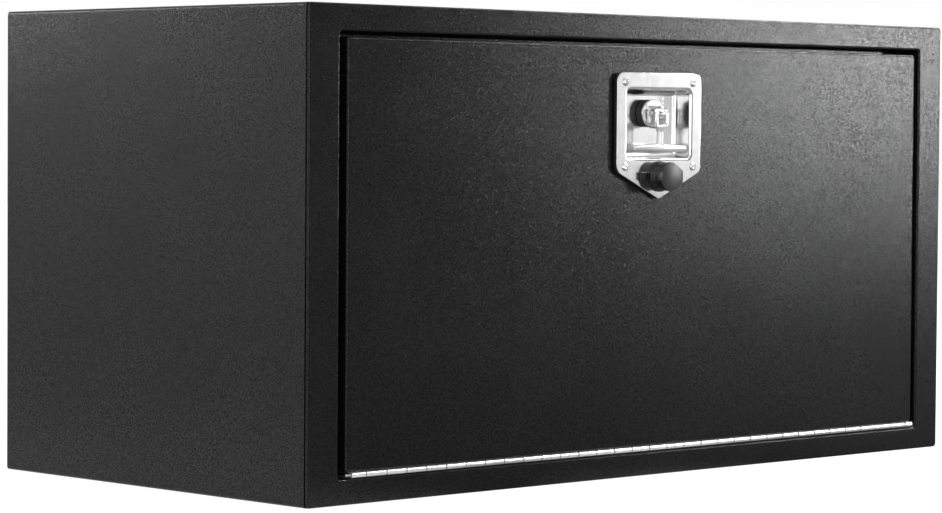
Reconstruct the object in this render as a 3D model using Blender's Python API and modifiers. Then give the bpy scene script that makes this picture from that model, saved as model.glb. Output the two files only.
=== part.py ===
"""Underbody truck tool box with a drop-down door, a piano hinge and a recessed T-handle latch.

Metres, +Z up, +X along the box's width, the door faces -Y. The origin is the centre of the underside.
In comments and names, "out" is the distance from the box's middle plane towards the viewer, which is -Y.
"""

import math

import bmesh
import bpy
from mathutils import Vector

# The box
BODY_WIDTH = 0.9144
BODY_DEPTH = 0.4572
BODY_HEIGHT = 0.4572
SHEET = 0.0019            # steel sheet of the box, frame and door
BODY_BEND = 0.005         # outer radius where the body panels turn
END_FLANGE = 0.015        # turned edge of each end panel, up to the seam with the wrap
EDGE_SETBACK = 0.0025     # the panels' raw front edge behind the frame's face
SEAM = 0.0003             # gap that welded or seated pieces keep

# The front frame
FRAME_SIDE = 0.0381
FRAME_TOP = 0.0254
FRAME_BOTTOM = 0.024
FRAME_BEND = 0.0025
FRAME_LAP = 0.018         # the outer turned edge inside the body
JAMB_DEPTH = 0.0265
STOP_WIDTH = 0.022
DOORWAY_CORNER = 0.003
LEAST_CORNER = 0.0006

# The door
DOOR_SIDE_GAP = 0.008
DOOR_TOP_GAP = 0.005
DOOR_PROUD = 0.001        # the door's face stands this far in front of the frame's
DOOR_DEPTH = 0.022
DOOR_LIP = 0.014
DOOR_BEND = 0.0025
DOOR_CORNER = 0.003
SEAL_WIDTH = 0.010
SEAL_INSET = 0.010        # from the doorway's edge to the seal
STIFFENER_SHARE = 0.62    # place of a stiffener, as a share of the door's half width
STIFFENER_WIDTH = 0.070
STIFFENER_CROWN = 0.030
STIFFENER_DEPTH = 0.012
STIFFENER_SHEET = 0.0015
STIFFENER_END_GAP = 0.022

# The piano hinge
HINGE_PITCH = 0.0127      # length of one knuckle
HINGE_END_GAP = 0.006     # least room between the hinge and the doorway's sides
HINGE_SHIFT = 0.002       # the hinge's middle to the right of the door's
BARREL_RADIUS = 0.0026
LEAF_SHEET = 0.0011
LEAF_WIDTH = 0.018
PIN_RADIUS = 0.0013
KNUCKLE_GAP = 0.0003
KNUCKLE_RELIEF = 0.0004   # a notch behind the other leaf's knuckle
HINGE_AXIS_BACK = 0.001   # the hinge axis behind the frame's face
CURL_END = math.radians(-20)
LEAF_RIVETS = 6
LEAF_RIVET_INSET = 0.012  # from the barrel's axis to a rivet
LEAF_RIVET_RADIUS = 0.0015
LEAF_RIVET_HEAD = 0.0029
LEAF_RIVET_HEAD_HEIGHT = 0.0009
LEAF_RIVET_TAIL = 0.0012
RIVET_CLEARANCE = 0.0003

# The latch plate and its dish
LATCH_INSET = 0.0263      # the plate's top edge below the door's
PLATE_WIDTH = 0.122
PLATE_SIDE = 0.0975       # length of the plate's straight sides
PLATE_HEIGHT = 0.125
PLATE_CORNER = 0.009
PLATE_TIP_CORNER = 0.005
PLATE_SHEET = 0.0015
GASKET = 0.003
RECESS_WIDTH = 0.0915
RECESS_HEIGHT = 0.0676
RECESS_INSET = 0.0167     # the recess's top edge below the plate's
RECESS_DEPTH = 0.020
RECESS_CORNER = 0.0045
RECESS_ROLL = 0.0025      # rolled edge between plate and recess
RECESS_FLOOR_ROLL = 0.005
RECESS_DRAFT = 0.002
RIVET_SIDE_INSET = 0.01175
RIVET_TOP_INSET = 0.0095
RIVET_SPACING = 0.0835    # from the upper pair to the lower
RIVET_RADIUS = 0.0019
RIVET_HEAD = 0.004
RIVET_HEAD_HEIGHT = 0.0014
RIVET_DIMPLE = 0.001
RIVET_TAIL = 0.0025

# The hub and what turns with it
HUB_DROP = 0.0233         # the spindle's axis below the recess's top edge
HUB_RADIUS = 0.014
HEAD_DROP = 0.0086        # the head's face behind the plate's
HEAD_THICKNESS = 0.003
HEAD_STEP = 0.001         # the lower part of the head's face is cut back
HEAD_CHORD = 0.0067
HUB_SEAL_RADIUS = 0.0138
SHAFT_RADIUS = 0.0055
SHAFT_CLEARANCE = 0.0004
SQUARE_WIDTH = 0.0078
THREAD_RADIUS = 0.0038
BUSHING_RADIUS = 0.010
BUSHING_LENGTH = 0.0085
DISC_RADIUS = 0.016
DISC_THICKNESS = 0.0025
SPACER_RADIUS = 0.0085
CAM_CLEARANCE = 0.0018    # the cam behind the frame's stop flange
CAM_THICKNESS = 0.003
CAM_OVERLAP = 0.0197      # the turned cam's reach behind the stop flange
CAM_HUB = 0.012
CAM_TIP = 0.008
NUT_RADIUS = 0.0082
NUT_THICKNESS = 0.006
SHAFT_END = 0.0015        # thread past the nut

# The T-handle
PIN_RISE = 0.0057         # the yoke pin's axis in front of the head's face
TONGUE_WIDTH = 0.0104
TONGUE_RADIUS = 0.0062
YOKE_WIDTH = 0.019
YOKE_ARM = 0.0038
YOKE_BACK = 0.0054        # behind the pin's axis, and the arms' round ends
YOKE_FRONT = 0.0066
YOKE_WEB_INNER = 0.0114   # below the pin's axis
YOKE_WEB = 0.0036
YOKE_CORNER = 0.005
YOKE_INNER_CORNER = 0.003
YOKE_EDGE = 0.002
YOKE_PIN_RADIUS = 0.0032
YOKE_PIN_DIMPLE = 0.0017
YOKE_PIN_DIMPLE_DEPTH = 0.003
YOKE_PIN_PROUD = 0.0012
SHANK_RADIUS = 0.0036
BAR_DROP = 0.0345         # the bar's axis below the pin's
BAR_FORWARD = 0.0035
BAR_LENGTH = 0.077
BAR_RADIUS = 0.00475
BAR_END_RADIUS = 0.0027

# The key lock and its dust cap
LOCK_DROP = 0.0182        # the lock's axis below the recess's bottom edge
LOCK_RADIUS = 0.009
LOCK_HEAD_RADIUS = 0.0105
LOCK_HEAD_HEIGHT = 0.0045
LOCK_NUT_RADIUS = 0.0128
LOCK_NUT_THICKNESS = 0.005
PLUG_RADIUS = 0.007
PLUG_CLEARANCE = 0.0002
PLUG_TAIL_RADIUS = 0.003
PLUG_TAIL_STEP = 0.0008
KEYWAY_WIDTH = 0.0014
KEYWAY_HEIGHT = 0.008
KEYWAY_DEPTH = 0.005
PAWL_HUB = 0.0065
PAWL_TIP = 0.0035
PAWL_CLEARANCE = 0.0005   # round the pawl's tip in the lock disc's notch
PAWL_OVERLAP = 0.005      # the pawl's reach inside the disc's rim
SCREW_HEAD = 0.0045
SCREW_HEAD_HEIGHT = 0.002
SCREW_RADIUS = 0.0012
SCREW_LENGTH = 0.005
SCREW_BORE = 0.0015
CAP_RADIUS = 0.0140
CAP_LID_RADIUS = 0.0145
CAP_RIM_RADIUS = 0.0152
CAP_RIM_HEIGHT = 0.0025
CAP_WALL = 0.0017
CAP_HEIGHT = 0.016
CAP_LID = 0.0025
CAP_TAB_REACH = 0.019
CAP_TAB_HALF = 0.0057
STRAP_HEIGHT = 0.008
STRAP_SHEET = 0.0022
STRAP_AXIS = 0.0195       # the strap's fold to the left of the cap's axis
STRAP_GAP = 0.0015        # between the cap's side and the strap
STRAP_START = 0.0004      # the strap's end from the fold's axis
FOOT_START = 0.0015       # the foot's end from the fold's axis
FOOT_LENGTH = 0.0076

OVERRUN = 0.004           # how far a cutter reaches past what it cuts
ARC_STEPS = 4
BEND_STEPS = 3
CORNER_STEPS = 3
TURN_STEPS = 24
MIDDLE_TURN_STEPS = 16
SMALL_TURN_STEPS = 8
CURL_STEPS = 7
BAR_STEPS = 5
DOME_SHARE = 0.6          # radius and height at which a rivet's head bends over
NEAR_SHARE = 0.98

# Places worked out from the sizes above
FRONT = BODY_DEPTH / 2
HALF_WIDTH = BODY_WIDTH / 2
DOORWAY_HALF = HALF_WIDTH - FRAME_SIDE
DOORWAY_TOP = BODY_HEIGHT - FRAME_TOP
STOP_FACE = FRONT - JAMB_DEPTH
STOP_BACK = STOP_FACE - SHEET
HINGE_Z = FRAME_BOTTOM + SEAM + BARREL_RADIUS
HINGE_OUT = FRONT - HINGE_AXIS_BACK
KNUCKLE_PAIRS = int((2 * (DOORWAY_HALF - HINGE_END_GAP) / HINGE_PITCH - 1) / 2)
HINGE_KNUCKLES = 2 * KNUCKLE_PAIRS + 1
HINGE_LENGTH = HINGE_PITCH * HINGE_KNUCKLES
HINGE_START = HINGE_SHIFT - HINGE_LENGTH / 2
DOOR_HALF = DOORWAY_HALF - DOOR_SIDE_GAP
DOOR_TOP = DOORWAY_TOP - DOOR_TOP_GAP
DOOR_BOTTOM = HINGE_Z + BARREL_RADIUS + SEAM
DOOR_FACE = FRONT + DOOR_PROUD
DOOR_INNER = DOOR_FACE - SHEET
DOOR_BACK = DOOR_FACE - DOOR_DEPTH
PLATE_TOP = DOOR_TOP - LATCH_INSET
PLATE_SHOULDER = PLATE_TOP - PLATE_SIDE
PLATE_TIP = PLATE_TOP - PLATE_HEIGHT
RECESS_TOP = PLATE_TOP - RECESS_INSET
RECESS_BOTTOM = RECESS_TOP - RECESS_HEIGHT
HUB_HEIGHT = RECESS_TOP - HUB_DROP
LOCK_HEIGHT = RECESS_BOTTOM - LOCK_DROP
GASKET_BACK = DOOR_FACE + SEAM
PLATE_BACK = GASKET_BACK + GASKET + SEAM
PLATE_FACE = PLATE_BACK + PLATE_SHEET
FLOOR_FACE = PLATE_FACE - RECESS_DEPTH
FLOOR_BACK = FLOOR_FACE - PLATE_SHEET
HEAD_FACE = PLATE_FACE - HEAD_DROP
HEAD_BACK = HEAD_FACE - HEAD_THICKNESS
YOKE_PIN_OUT = HEAD_FACE + PIN_RISE
BUSHING_FRONT = FLOOR_BACK - SEAM
BUSHING_BACK = BUSHING_FRONT - BUSHING_LENGTH
DISC_FRONT = BUSHING_BACK - SEAM
DISC_BACK = DISC_FRONT - DISC_THICKNESS
CAM_FRONT = STOP_BACK - CAM_CLEARANCE
CAM_BACK = CAM_FRONT - CAM_THICKNESS
CAM_LENGTH = DOORWAY_TOP - STOP_WIDTH + CAM_OVERLAP - HUB_HEIGHT
NUT_FRONT = CAM_BACK - SEAM
NUT_BACK = NUT_FRONT - NUT_THICKNESS
BAR_Z = HUB_HEIGHT - BAR_DROP
PAWL_REACH = HUB_HEIGHT - LOCK_HEIGHT - DISC_RADIUS + PAWL_OVERLAP
CAP_BACK = PLATE_FACE + SEAM
CAP_FRONT = CAP_BACK + CAP_HEIGHT
STRAP_OUT = CAP_BACK + STRAP_SHEET / 2 + 2 * SEAM

FINISHES = {              # base colour, roughness, metallic
    "powder": ((0.030, 0.030, 0.032), 0.55, 0.0),
    "stainless": ((0.72, 0.72, 0.71), 0.22, 1.0),
    "polished": ((0.80, 0.80, 0.80), 0.10, 1.0),
    "zinc": ((0.58, 0.58, 0.55), 0.35, 1.0),
    "rubber": ((0.020, 0.020, 0.021), 0.75, 0.0),
}


# Scene and object helpers

def clear_scene():
    for obj in list(bpy.data.objects):
        bpy.data.objects.remove(obj, do_unlink=True)


def new_collection(name):
    collection = bpy.data.collections.new(name)
    bpy.context.scene.collection.children.link(collection)
    return collection


clear_scene()
PARTS = new_collection("underbody_tool_box")
CUTTERS = new_collection("cutters")


def give_finish(obj, finish):
    """Gives the object a material of its own, with the named finish."""
    colour, roughness, metallic = FINISHES[finish]
    material = bpy.data.materials.new(obj.name + "_" + finish)
    material.use_nodes = True
    shader = material.node_tree.nodes["Principled BSDF"]
    shader.inputs["Base Color"].default_value = (*colour, 1)
    shader.inputs["Roughness"].default_value = roughness
    shader.inputs["Metallic"].default_value = metallic
    obj.data.materials.append(material)


def add_object(name, data, finish):
    """Links a new object. One without a finish is a cutter."""
    obj = bpy.data.objects.new(name, data)
    if finish:
        PARTS.objects.link(obj)
        give_finish(obj, finish)
    else:
        CUTTERS.objects.link(obj)
        obj.hide_render = True
        obj.display_type = "WIRE"
    return obj


def mesh_object(name, bm, finish, smooth=True):
    mesh = bpy.data.meshes.new(name)
    bm.to_mesh(mesh)
    bm.free()
    obj = add_object(name, mesh, finish)
    if smooth:
        mesh.shade_smooth()
        mesh.set_sharp_from_angle(angle=math.radians(35))
    return obj


def as_mesh(curve_object, finish):
    """Turns a curve object into a mesh object with its caps welded on."""
    name = curve_object.name
    bpy.context.view_layer.update()
    graph = bpy.context.evaluated_depsgraph_get()
    mesh = bpy.data.meshes.new_from_object(curve_object.evaluated_get(graph))
    matrix = curve_object.matrix_world.copy()
    bpy.data.objects.remove(curve_object, do_unlink=True)
    bm = bmesh.new()
    bm.from_mesh(mesh)
    bmesh.ops.remove_doubles(bm, verts=bm.verts, dist=SEAM / 100)
    bm.to_mesh(mesh)
    bm.free()
    mesh.materials.clear()
    obj = add_object(name, mesh, finish)
    obj.name = name
    obj.matrix_world = matrix
    return obj


def boolean(obj, other, operation="DIFFERENCE"):
    modifier = obj.modifiers.new(operation.title() + "_" + other.name, "BOOLEAN")
    modifier.operation = operation
    modifier.object = other


def solidify(obj, thickness):
    """Gives an open sheet its thickness on the side away from its normals."""
    modifier = obj.modifiers.new("Sheet", "SOLIDIFY")
    modifier.thickness = thickness
    modifier.offset = -1
    modifier.use_even_offset = True


def axis_empty(name, x, out, z):
    """An empty on a joint's axis, which carries the pieces that turn about it."""
    empty = bpy.data.objects.new(name, None)
    empty.location = (x, -out, z)
    PARTS.objects.link(empty)
    return empty


def carry(empty, objects):
    bpy.context.view_layer.update()
    for obj in objects:
        obj.parent = empty
        obj.matrix_parent_inverse = empty.matrix_world.inverted()


# Outlines and paths, as lists of 2D vectors

def rounded(points, radii, closed=True, steps=ARC_STEPS):
    """The corners of an outline or path, each replaced by an arc of its radius."""
    if not isinstance(radii, (list, tuple)):
        radii = [radii] * len(points)
    result = []
    for i, corner in enumerate(points):
        corner = Vector(corner)
        at_end = not closed and i in (0, len(points) - 1)
        if at_end or radii[i] == 0:
            result.append(corner)
            continue
        before = (Vector(points[i - 1]) - corner).normalized()
        after = (Vector(points[(i + 1) % len(points)]) - corner).normalized()
        half = before.angle(after) / 2
        centre = corner + (before + after).normalized() * radii[i] / math.sin(half)
        first = (corner + before * radii[i] / math.tan(half) - centre).normalized()
        last = (corner + after * radii[i] / math.tan(half) - centre).normalized()
        result += [centre + first.slerp(last, k / steps) * radii[i] for k in range(steps + 1)]
    return result


def rectangle(x0, x1, z0, z1, radius, steps=CORNER_STEPS):
    corners = [(x0, z0), (x1, z0), (x1, z1), (x0, z1)]
    return rounded(corners, radius, steps=steps)


def circle(radius, x=0, z=0, steps=TURN_STEPS):
    turns = [2 * math.pi * k / steps for k in range(steps)]
    return [Vector((x + radius * math.cos(a), z + radius * math.sin(a))) for a in turns]


def arc(radius, start, end, x=0, z=0, steps=ARC_STEPS):
    turns = [start + (end - start) * k / steps for k in range(steps + 1)]
    return [Vector((x + radius * math.cos(a), z + radius * math.sin(a))) for a in turns]


def lever(hub, tip, length, side, z, steps=8):
    """A flat lever along X, to the given side: a round hub, a round tip and the tangents between them."""
    lean = math.asin((hub - tip) / length)
    quarter = math.pi / 2
    big = arc(hub, quarter - lean, 3 * quarter + lean, steps=steps)
    small = arc(tip, lean - quarter, quarter - lean, length, steps=steps)
    return [Vector((side * p.x, z + p.y)) for p in big + small]


def shield(inset=0):
    """The latch plate's outline: straight sides, and two slopes that meet in a rounded tip."""
    half = PLATE_WIDTH / 2 - inset
    corners = [(-half, PLATE_TOP - inset), (-half, PLATE_SHOULDER), (0, PLATE_TIP + inset),
               (half, PLATE_SHOULDER), (half, PLATE_TOP - inset)]
    radii = [PLATE_CORNER, PLATE_CORNER, PLATE_TIP_CORNER, PLATE_CORNER, PLATE_CORNER]
    return rounded(corners, radii)


# Solids

def front_view(points, out):
    """Places an outline of the front view at a distance out."""
    return [Vector((p[0], -out, p[1])) for p in points]


def flat_solid(name, outlines, back, front, finish, mesh=False):
    """An outline of the front view, with its holes, as a plate between two distances out."""
    curve = bpy.data.curves.new(name, "CURVE")
    curve.dimensions = "2D"
    curve.fill_mode = "BOTH"
    curve.extrude = (front - back) / 2
    for outline in outlines:
        spline = curve.splines.new("POLY")
        spline.points.add(len(outline) - 1)
        for point, place in zip(spline.points, outline):
            point.co = (place[0], place[1], 0, 1)
        spline.use_cyclic_u = True
    obj = add_object(name, curve, None if mesh else finish)
    obj.location = (0, -(front + back) / 2, 0)
    obj.rotation_euler = (math.pi / 2, 0, 0)
    return as_mesh(obj, finish) if mesh else obj


def side_solid(name, outline, x0, x1, finish):
    """An outline given as (y, z), extruded along X into a mesh."""
    obj = flat_solid(name, [outline], x0, x1, None)
    obj.location = ((x0 + x1) / 2, 0, 0)
    obj.rotation_euler = (math.pi / 2, 0, math.pi / 2)
    return as_mesh(obj, finish)


def turned(name, profile, finish, x=0, z=0, steps=TURN_STEPS, ring=False):
    """A profile of (radius, out) from front to back, turned about the line through x and z along Y."""
    bm = bmesh.new()
    verts = [bm.verts.new((r, 0, out)) for r, out in profile]
    for a, b in zip(verts, verts[1:]):
        bm.edges.new((a, b))
    if ring:
        bm.edges.new((verts[-1], verts[0]))
    obj = mesh_object(name, bm, finish, smooth=False)
    screw = obj.modifiers.new("Turn", "SCREW")
    screw.steps = steps
    screw.render_steps = steps
    screw.use_merge_vertices = True
    screw.merge_threshold = SEAM / 100
    screw.use_smooth_shade = True
    obj.location = (x, 0, z)
    obj.rotation_euler = (math.pi / 2, 0, 0)
    return obj


def box(name, low, high, finish):
    bm = bmesh.new()
    bmesh.ops.create_cube(bm, size=1)
    for vert in bm.verts:
        vert.co = [low[i] if vert.co[i] < 0 else high[i] for i in range(3)]
    return mesh_object(name, bm, finish, smooth=False)


def rods(name, radius, ends, finish=None, steps=SMALL_TURN_STEPS):
    """Cylinders from each pair of end points, in one mesh."""
    bm = bmesh.new()
    for low, high in ends:
        low, high = Vector(low), Vector(high)
        made = bmesh.ops.create_cone(bm, cap_ends=True, segments=steps, radius1=radius, radius2=radius,
                                     depth=(high - low).length)
        turn = (high - low).to_track_quat("Z", "Y").to_matrix()
        bmesh.ops.rotate(bm, verts=made["verts"], matrix=turn)
        bmesh.ops.translate(bm, verts=made["verts"], vec=(low + high) / 2)
    return mesh_object(name, bm, finish)


def loft(bm, loops, closed=True):
    """Faces between successive loops of equally many points."""
    rows = [[bm.verts.new(p) for p in loop] for loop in loops]
    count = len(rows[0])
    for upper, lower in zip(rows, rows[1:]):
        for i in range(count if closed else count - 1):
            j = (i + 1) % count
            bm.faces.new((upper[i], upper[j], lower[j], lower[i]))
    return rows


def face_towards(bm, direction):
    """Turns an open sheet so that most of it looks in the direction, weighed by area."""
    bmesh.ops.recalc_face_normals(bm, faces=bm.faces)
    if sum(face.calc_area() * face.normal.dot(direction) for face in bm.faces) < 0:
        bmesh.ops.reverse_faces(bm, faces=bm.faces)


def sheet_object(name, bm, direction, thickness, finish):
    face_towards(bm, Vector(direction))
    obj = mesh_object(name, bm, finish)
    solidify(obj, thickness)
    return obj


def fill_between(bm, outer, holes):
    """Fills the flat stretch between an outline and its holes."""
    edges = []
    for loop in [outer] + holes:
        verts = [bm.verts.new(p) for p in loop]
        edges += [bm.edges.new((verts[i - 1], verts[i])) for i in range(len(verts))]
    bmesh.ops.triangle_fill(bm, use_beauty=True, use_dissolve=False, edges=edges)


# The box

def body_wrap():
    """Top, back and bottom bent from one sheet, between the end panels' turned edges."""
    edge = -(FRONT - EDGE_SETBACK)
    corners = [(edge, BODY_HEIGHT), (FRONT, BODY_HEIGHT), (FRONT, 0), (edge, 0)]
    path = rounded(corners, BODY_BEND, closed=False, steps=BEND_STEPS)
    half = HALF_WIDTH - END_FLANGE - SEAM
    bm = bmesh.new()
    loft(bm, [[Vector((x, p[0], p[1])) for p in path] for x in (-half, half)], closed=False)
    return sheet_object("body_wrap", bm, (0, 1, 0), SHEET, "powder")


def end_panel(name, side):
    """A pan that closes one end. Its edges are turned in at the top, back and bottom."""
    corners = [(2 * BODY_BEND, 0), (0, 0), (0, END_FLANGE)]
    path = rounded(corners, BODY_BEND, closed=False, steps=BEND_STEPS)
    front = -FRONT - 3 * BODY_BEND
    loops = []
    for inset, depth in path:
        radius = max(BODY_BEND - inset, LEAST_CORNER)
        loop = rectangle(front + inset, FRONT - inset, inset, BODY_HEIGHT - inset, radius)
        loops.append([Vector((side * (HALF_WIDTH - depth), p[0], p[1])) for p in loop])
    bm = bmesh.new()
    rows = loft(bm, loops)
    bm.faces.new(rows[0])
    bmesh.ops.bisect_plane(bm, geom=bm.verts[:] + bm.edges[:] + bm.faces[:],
                           plane_co=(0, -(FRONT - EDGE_SETBACK), 0), plane_no=(0, -1, 0), clear_outer=True)
    return sheet_object(name, bm, (side, 0, 0), SHEET, "powder")


def doorway(inset):
    radius = max(DOORWAY_CORNER - inset, LEAST_CORNER)
    half = DOORWAY_HALF - inset
    return rectangle(-half, half, FRAME_BOTTOM + inset, DOORWAY_TOP - inset, radius)


def front_frame():
    """A face ring, turned back inside the body at its rim and at the doorway, with a flange for the seal."""
    lap = SHEET + SEAM
    outer = [(lap, FRONT - FRAME_LAP), (lap, FRONT), (lap + 2 * FRAME_BEND, FRONT)]
    inner = [(-2 * FRAME_BEND, FRONT), (0, FRONT), (0, STOP_FACE), (STOP_WIDTH, STOP_FACE)]
    loops = []
    for inset, out in rounded(outer, FRAME_BEND, closed=False, steps=BEND_STEPS):
        radius = max(BODY_BEND - inset, LEAST_CORNER)
        half = HALF_WIDTH - inset
        loops.append(front_view(rectangle(-half, half, inset, BODY_HEIGHT - inset, radius), out))
    for inset, out in rounded(inner, FRAME_BEND, closed=False, steps=BEND_STEPS):
        loops.append(front_view(doorway(inset), out))
    bm = bmesh.new()
    loft(bm, loops)
    frame = sheet_object("front_frame", bm, (0, -1, 0), SHEET, "powder")
    boolean(frame, leaf_drills("frame_rivet_drills", frame_rivet_places(), FRAME_BOTTOM - SHEET))
    return frame


def door_seal():
    inner = SEAL_INSET + SEAL_WIDTH
    outlines = [doorway(SEAL_INSET), doorway(inner)]
    return flat_solid("door_seal", outlines, STOP_FACE + SEAM, DOOR_BACK - SEAM, "rubber")


# The piano hinge

def rivet_places(first):
    """Places of the rivets along the hinge, starting at a share of their spacing."""
    spacing = HINGE_LENGTH / LEAF_RIVETS
    return [HINGE_START + (first + k) * spacing for k in range(LEAF_RIVETS)]


def frame_rivet_places():
    return rivet_places(1 / 3)


def door_rivet_places():
    return rivet_places(2 / 3)


def leaf_drills(name, places, middle):
    """Cutters for the rivets of one leaf, through the leaf and the sheet beside it."""
    radius = LEAF_RIVET_RADIUS + RIVET_CLEARANCE
    y = -HINGE_OUT + LEAF_RIVET_INSET
    return rods(name, radius, [((x, y, middle - OVERRUN), (x, y, middle + OVERRUN)) for x in places])


def hinge_leaf(name, side, parity, rivets):
    """A flat leaf whose edge is rolled round the pin, and notched for the other leaf's knuckles.

    side is -1 for the leaf below the pin and 1 for the one above it. The roll starts at the leaf, runs
    round the front of the pin and ends just short of the leaf again.
    """
    inner = BARREL_RADIUS - LEAF_SHEET
    start = math.radians(270)
    outside = arc(BARREL_RADIUS, start, CURL_END, steps=CURL_STEPS)
    inside = arc(inner, CURL_END, start, steps=CURL_STEPS)
    outline = [(LEAF_WIDTH, -BARREL_RADIUS)] + outside + inside + [(LEAF_WIDTH, -inner)]
    placed = [(p[0] - HINGE_OUT, HINGE_Z - side * p[1]) for p in outline]
    leaf = side_solid(name, placed, HINGE_START + KNUCKLE_GAP, HINGE_START + HINGE_LENGTH - KNUCKLE_GAP,
                      "stainless")
    boolean(leaf, knuckle_notches(name + "_notches", parity))
    boolean(leaf, leaf_drills(name + "_drills", rivets, HINGE_Z + side * BARREL_RADIUS))
    return leaf


def knuckle_notches(name, parity):
    """Boxes that cut every other knuckle out of a leaf."""
    reach = BARREL_RADIUS + KNUCKLE_RELIEF
    bm = bmesh.new()
    for k in range(parity, HINGE_KNUCKLES, 2):
        x0 = HINGE_START + k * HINGE_PITCH - KNUCKLE_GAP / 2
        x1 = x0 + HINGE_PITCH + KNUCKLE_GAP
        if k == 0:
            x0 -= OVERRUN
        if k == HINGE_KNUCKLES - 1:
            x1 += OVERRUN
        low = (x0, -HINGE_OUT - BARREL_RADIUS - OVERRUN, HINGE_Z - BARREL_RADIUS - OVERRUN)
        high = (x1, -HINGE_OUT + reach, HINGE_Z + BARREL_RADIUS + OVERRUN)
        for vert in bmesh.ops.create_cube(bm, size=1)["verts"]:
            vert.co = [low[i] if vert.co[i] < 0 else high[i] for i in range(3)]
    return mesh_object(name, bm, None, smooth=False)


def hinge_pin():
    start = (HINGE_START, -HINGE_OUT, HINGE_Z)
    end = (HINGE_START + HINGE_LENGTH, -HINGE_OUT, HINGE_Z)
    return rods("hinge_pin", PIN_RADIUS, [(start, end)], "stainless")


def leaf_rivets(prefix, side, places):
    """Blind rivets, their heads between the leaves. side is -1 for the frame's leaf, 1 for the door's."""
    leaf_face = HINGE_Z + side * (BARREL_RADIUS - LEAF_SHEET)
    head = LEAF_RIVET_HEAD_HEIGHT
    tail = SEAM + LEAF_SHEET + SEAM + SHEET + LEAF_RIVET_TAIL
    profile = [(0, head), (LEAF_RIVET_HEAD * DOME_SHARE, head), (LEAF_RIVET_HEAD, 0), (LEAF_RIVET_RADIUS, 0),
               (LEAF_RIVET_RADIUS, -tail), (0, -tail)]
    made = []
    for number, x in enumerate(places, 1):
        rivet = turned(f"{prefix}_{number}", profile, "stainless", steps=SMALL_TURN_STEPS)
        rivet.location = (x, -HINGE_OUT + LEAF_RIVET_INSET, leaf_face - side * SEAM)
        rivet.rotation_euler = (math.pi if side > 0 else 0, 0, 0)
        made.append(rivet)
    return made


# The door

def door_outline(inset):
    radius = max(DOOR_CORNER - inset, LEAST_CORNER)
    return rectangle(-DOOR_HALF + inset, DOOR_HALF - inset, DOOR_BOTTOM + inset, DOOR_TOP - inset, radius)


def door_skin():
    """A pan with turned edges and a lip round its back, cut out for the latch."""
    path = rounded([(2 * DOOR_BEND, DOOR_FACE), (0, DOOR_FACE), (0, DOOR_BACK), (DOOR_LIP, DOOR_BACK)],
                   DOOR_BEND, closed=False, steps=BEND_STEPS)
    bm = bmesh.new()
    rows = loft(bm, [front_view(door_outline(inset), out) for inset, out in path])
    bm.faces.new(rows[0])
    skin = sheet_object("door_skin", bm, (0, -1, 0), SHEET, "powder")
    middle = (DOOR_FACE + DOOR_INNER) / 2
    boolean(skin, latch_cutter("door_latch_cutter", middle))
    boolean(skin, latch_drills("door_latch_drills", middle))
    boolean(skin, leaf_drills("door_rivet_drills", door_rivet_places(), DOOR_BOTTOM + SHEET))
    return skin


def recess_outline(inset):
    half = RECESS_WIDTH / 2 - inset
    return rectangle(-half, half, RECESS_BOTTOM + inset, RECESS_TOP - inset, RECESS_CORNER, steps=ARC_STEPS)


def latch_cutter(name, middle):
    """Cutter for the recess of the latch dish, with room round its walls."""
    room = PLATE_SHEET + 2 * SEAM
    return flat_solid(name, [recess_outline(-room)], middle - OVERRUN, middle + OVERRUN, None, mesh=True)


def latch_rivet_places():
    x, top = PLATE_WIDTH / 2 - RIVET_SIDE_INSET, PLATE_TOP - RIVET_TOP_INSET
    return [(-x, top), (x, top), (-x, top - RIVET_SPACING), (x, top - RIVET_SPACING)]


def latch_drills(name, middle):
    """Cutters for the latch's rivets and lock, in one mesh."""
    lines = [((x, -middle - OVERRUN, z), (x, -middle + OVERRUN, z)) for x, z in latch_rivet_places()]
    cutter = rods(name, RIVET_RADIUS + RIVET_CLEARANCE, lines)
    line = ((0, -middle - OVERRUN, LOCK_HEIGHT), (0, -middle + OVERRUN, LOCK_HEIGHT))
    lock = rods(name + "_lock", LOCK_RADIUS + RIVET_CLEARANCE, [line], steps=TURN_STEPS)
    boolean(cutter, lock, "UNION")
    return cutter


def door_stiffener(name, side):
    """A hat channel welded upright inside the door."""
    flange = (STIFFENER_WIDTH - STIFFENER_CROWN) / 3
    crown = STIFFENER_CROWN / 2
    foot = DOOR_INNER - SEAM
    peak = foot - STIFFENER_DEPTH
    half = STIFFENER_WIDTH / 2
    path = [(-half, foot), (-half + flange, foot), (-crown, peak)]
    path += [(-x, out) for x, out in reversed(path)]
    middle = side * STIFFENER_SHARE * DOOR_HALF
    low, high = DOOR_BOTTOM + STIFFENER_END_GAP, DOOR_TOP - STIFFENER_END_GAP
    bm = bmesh.new()
    loft(bm, [[Vector((middle + p[0], -p[1], z)) for p in path] for z in (low, high)], closed=False)
    return sheet_object(name, bm, (0, -1, 0), STIFFENER_SHEET, "powder")


# The latch on the door

def latch_gasket():
    holes = [recess_outline(-PLATE_SHEET - 2 * SEAM), circle(LOCK_RADIUS + RIVET_CLEARANCE, z=LOCK_HEIGHT)]
    for x, z in latch_rivet_places():
        holes.append(circle(RIVET_RADIUS + RIVET_CLEARANCE, x, z, SMALL_TURN_STEPS))
    return flat_solid("latch_gasket", [shield()] + holes, GASKET_BACK, GASKET_BACK + GASKET, "rubber")


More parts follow.
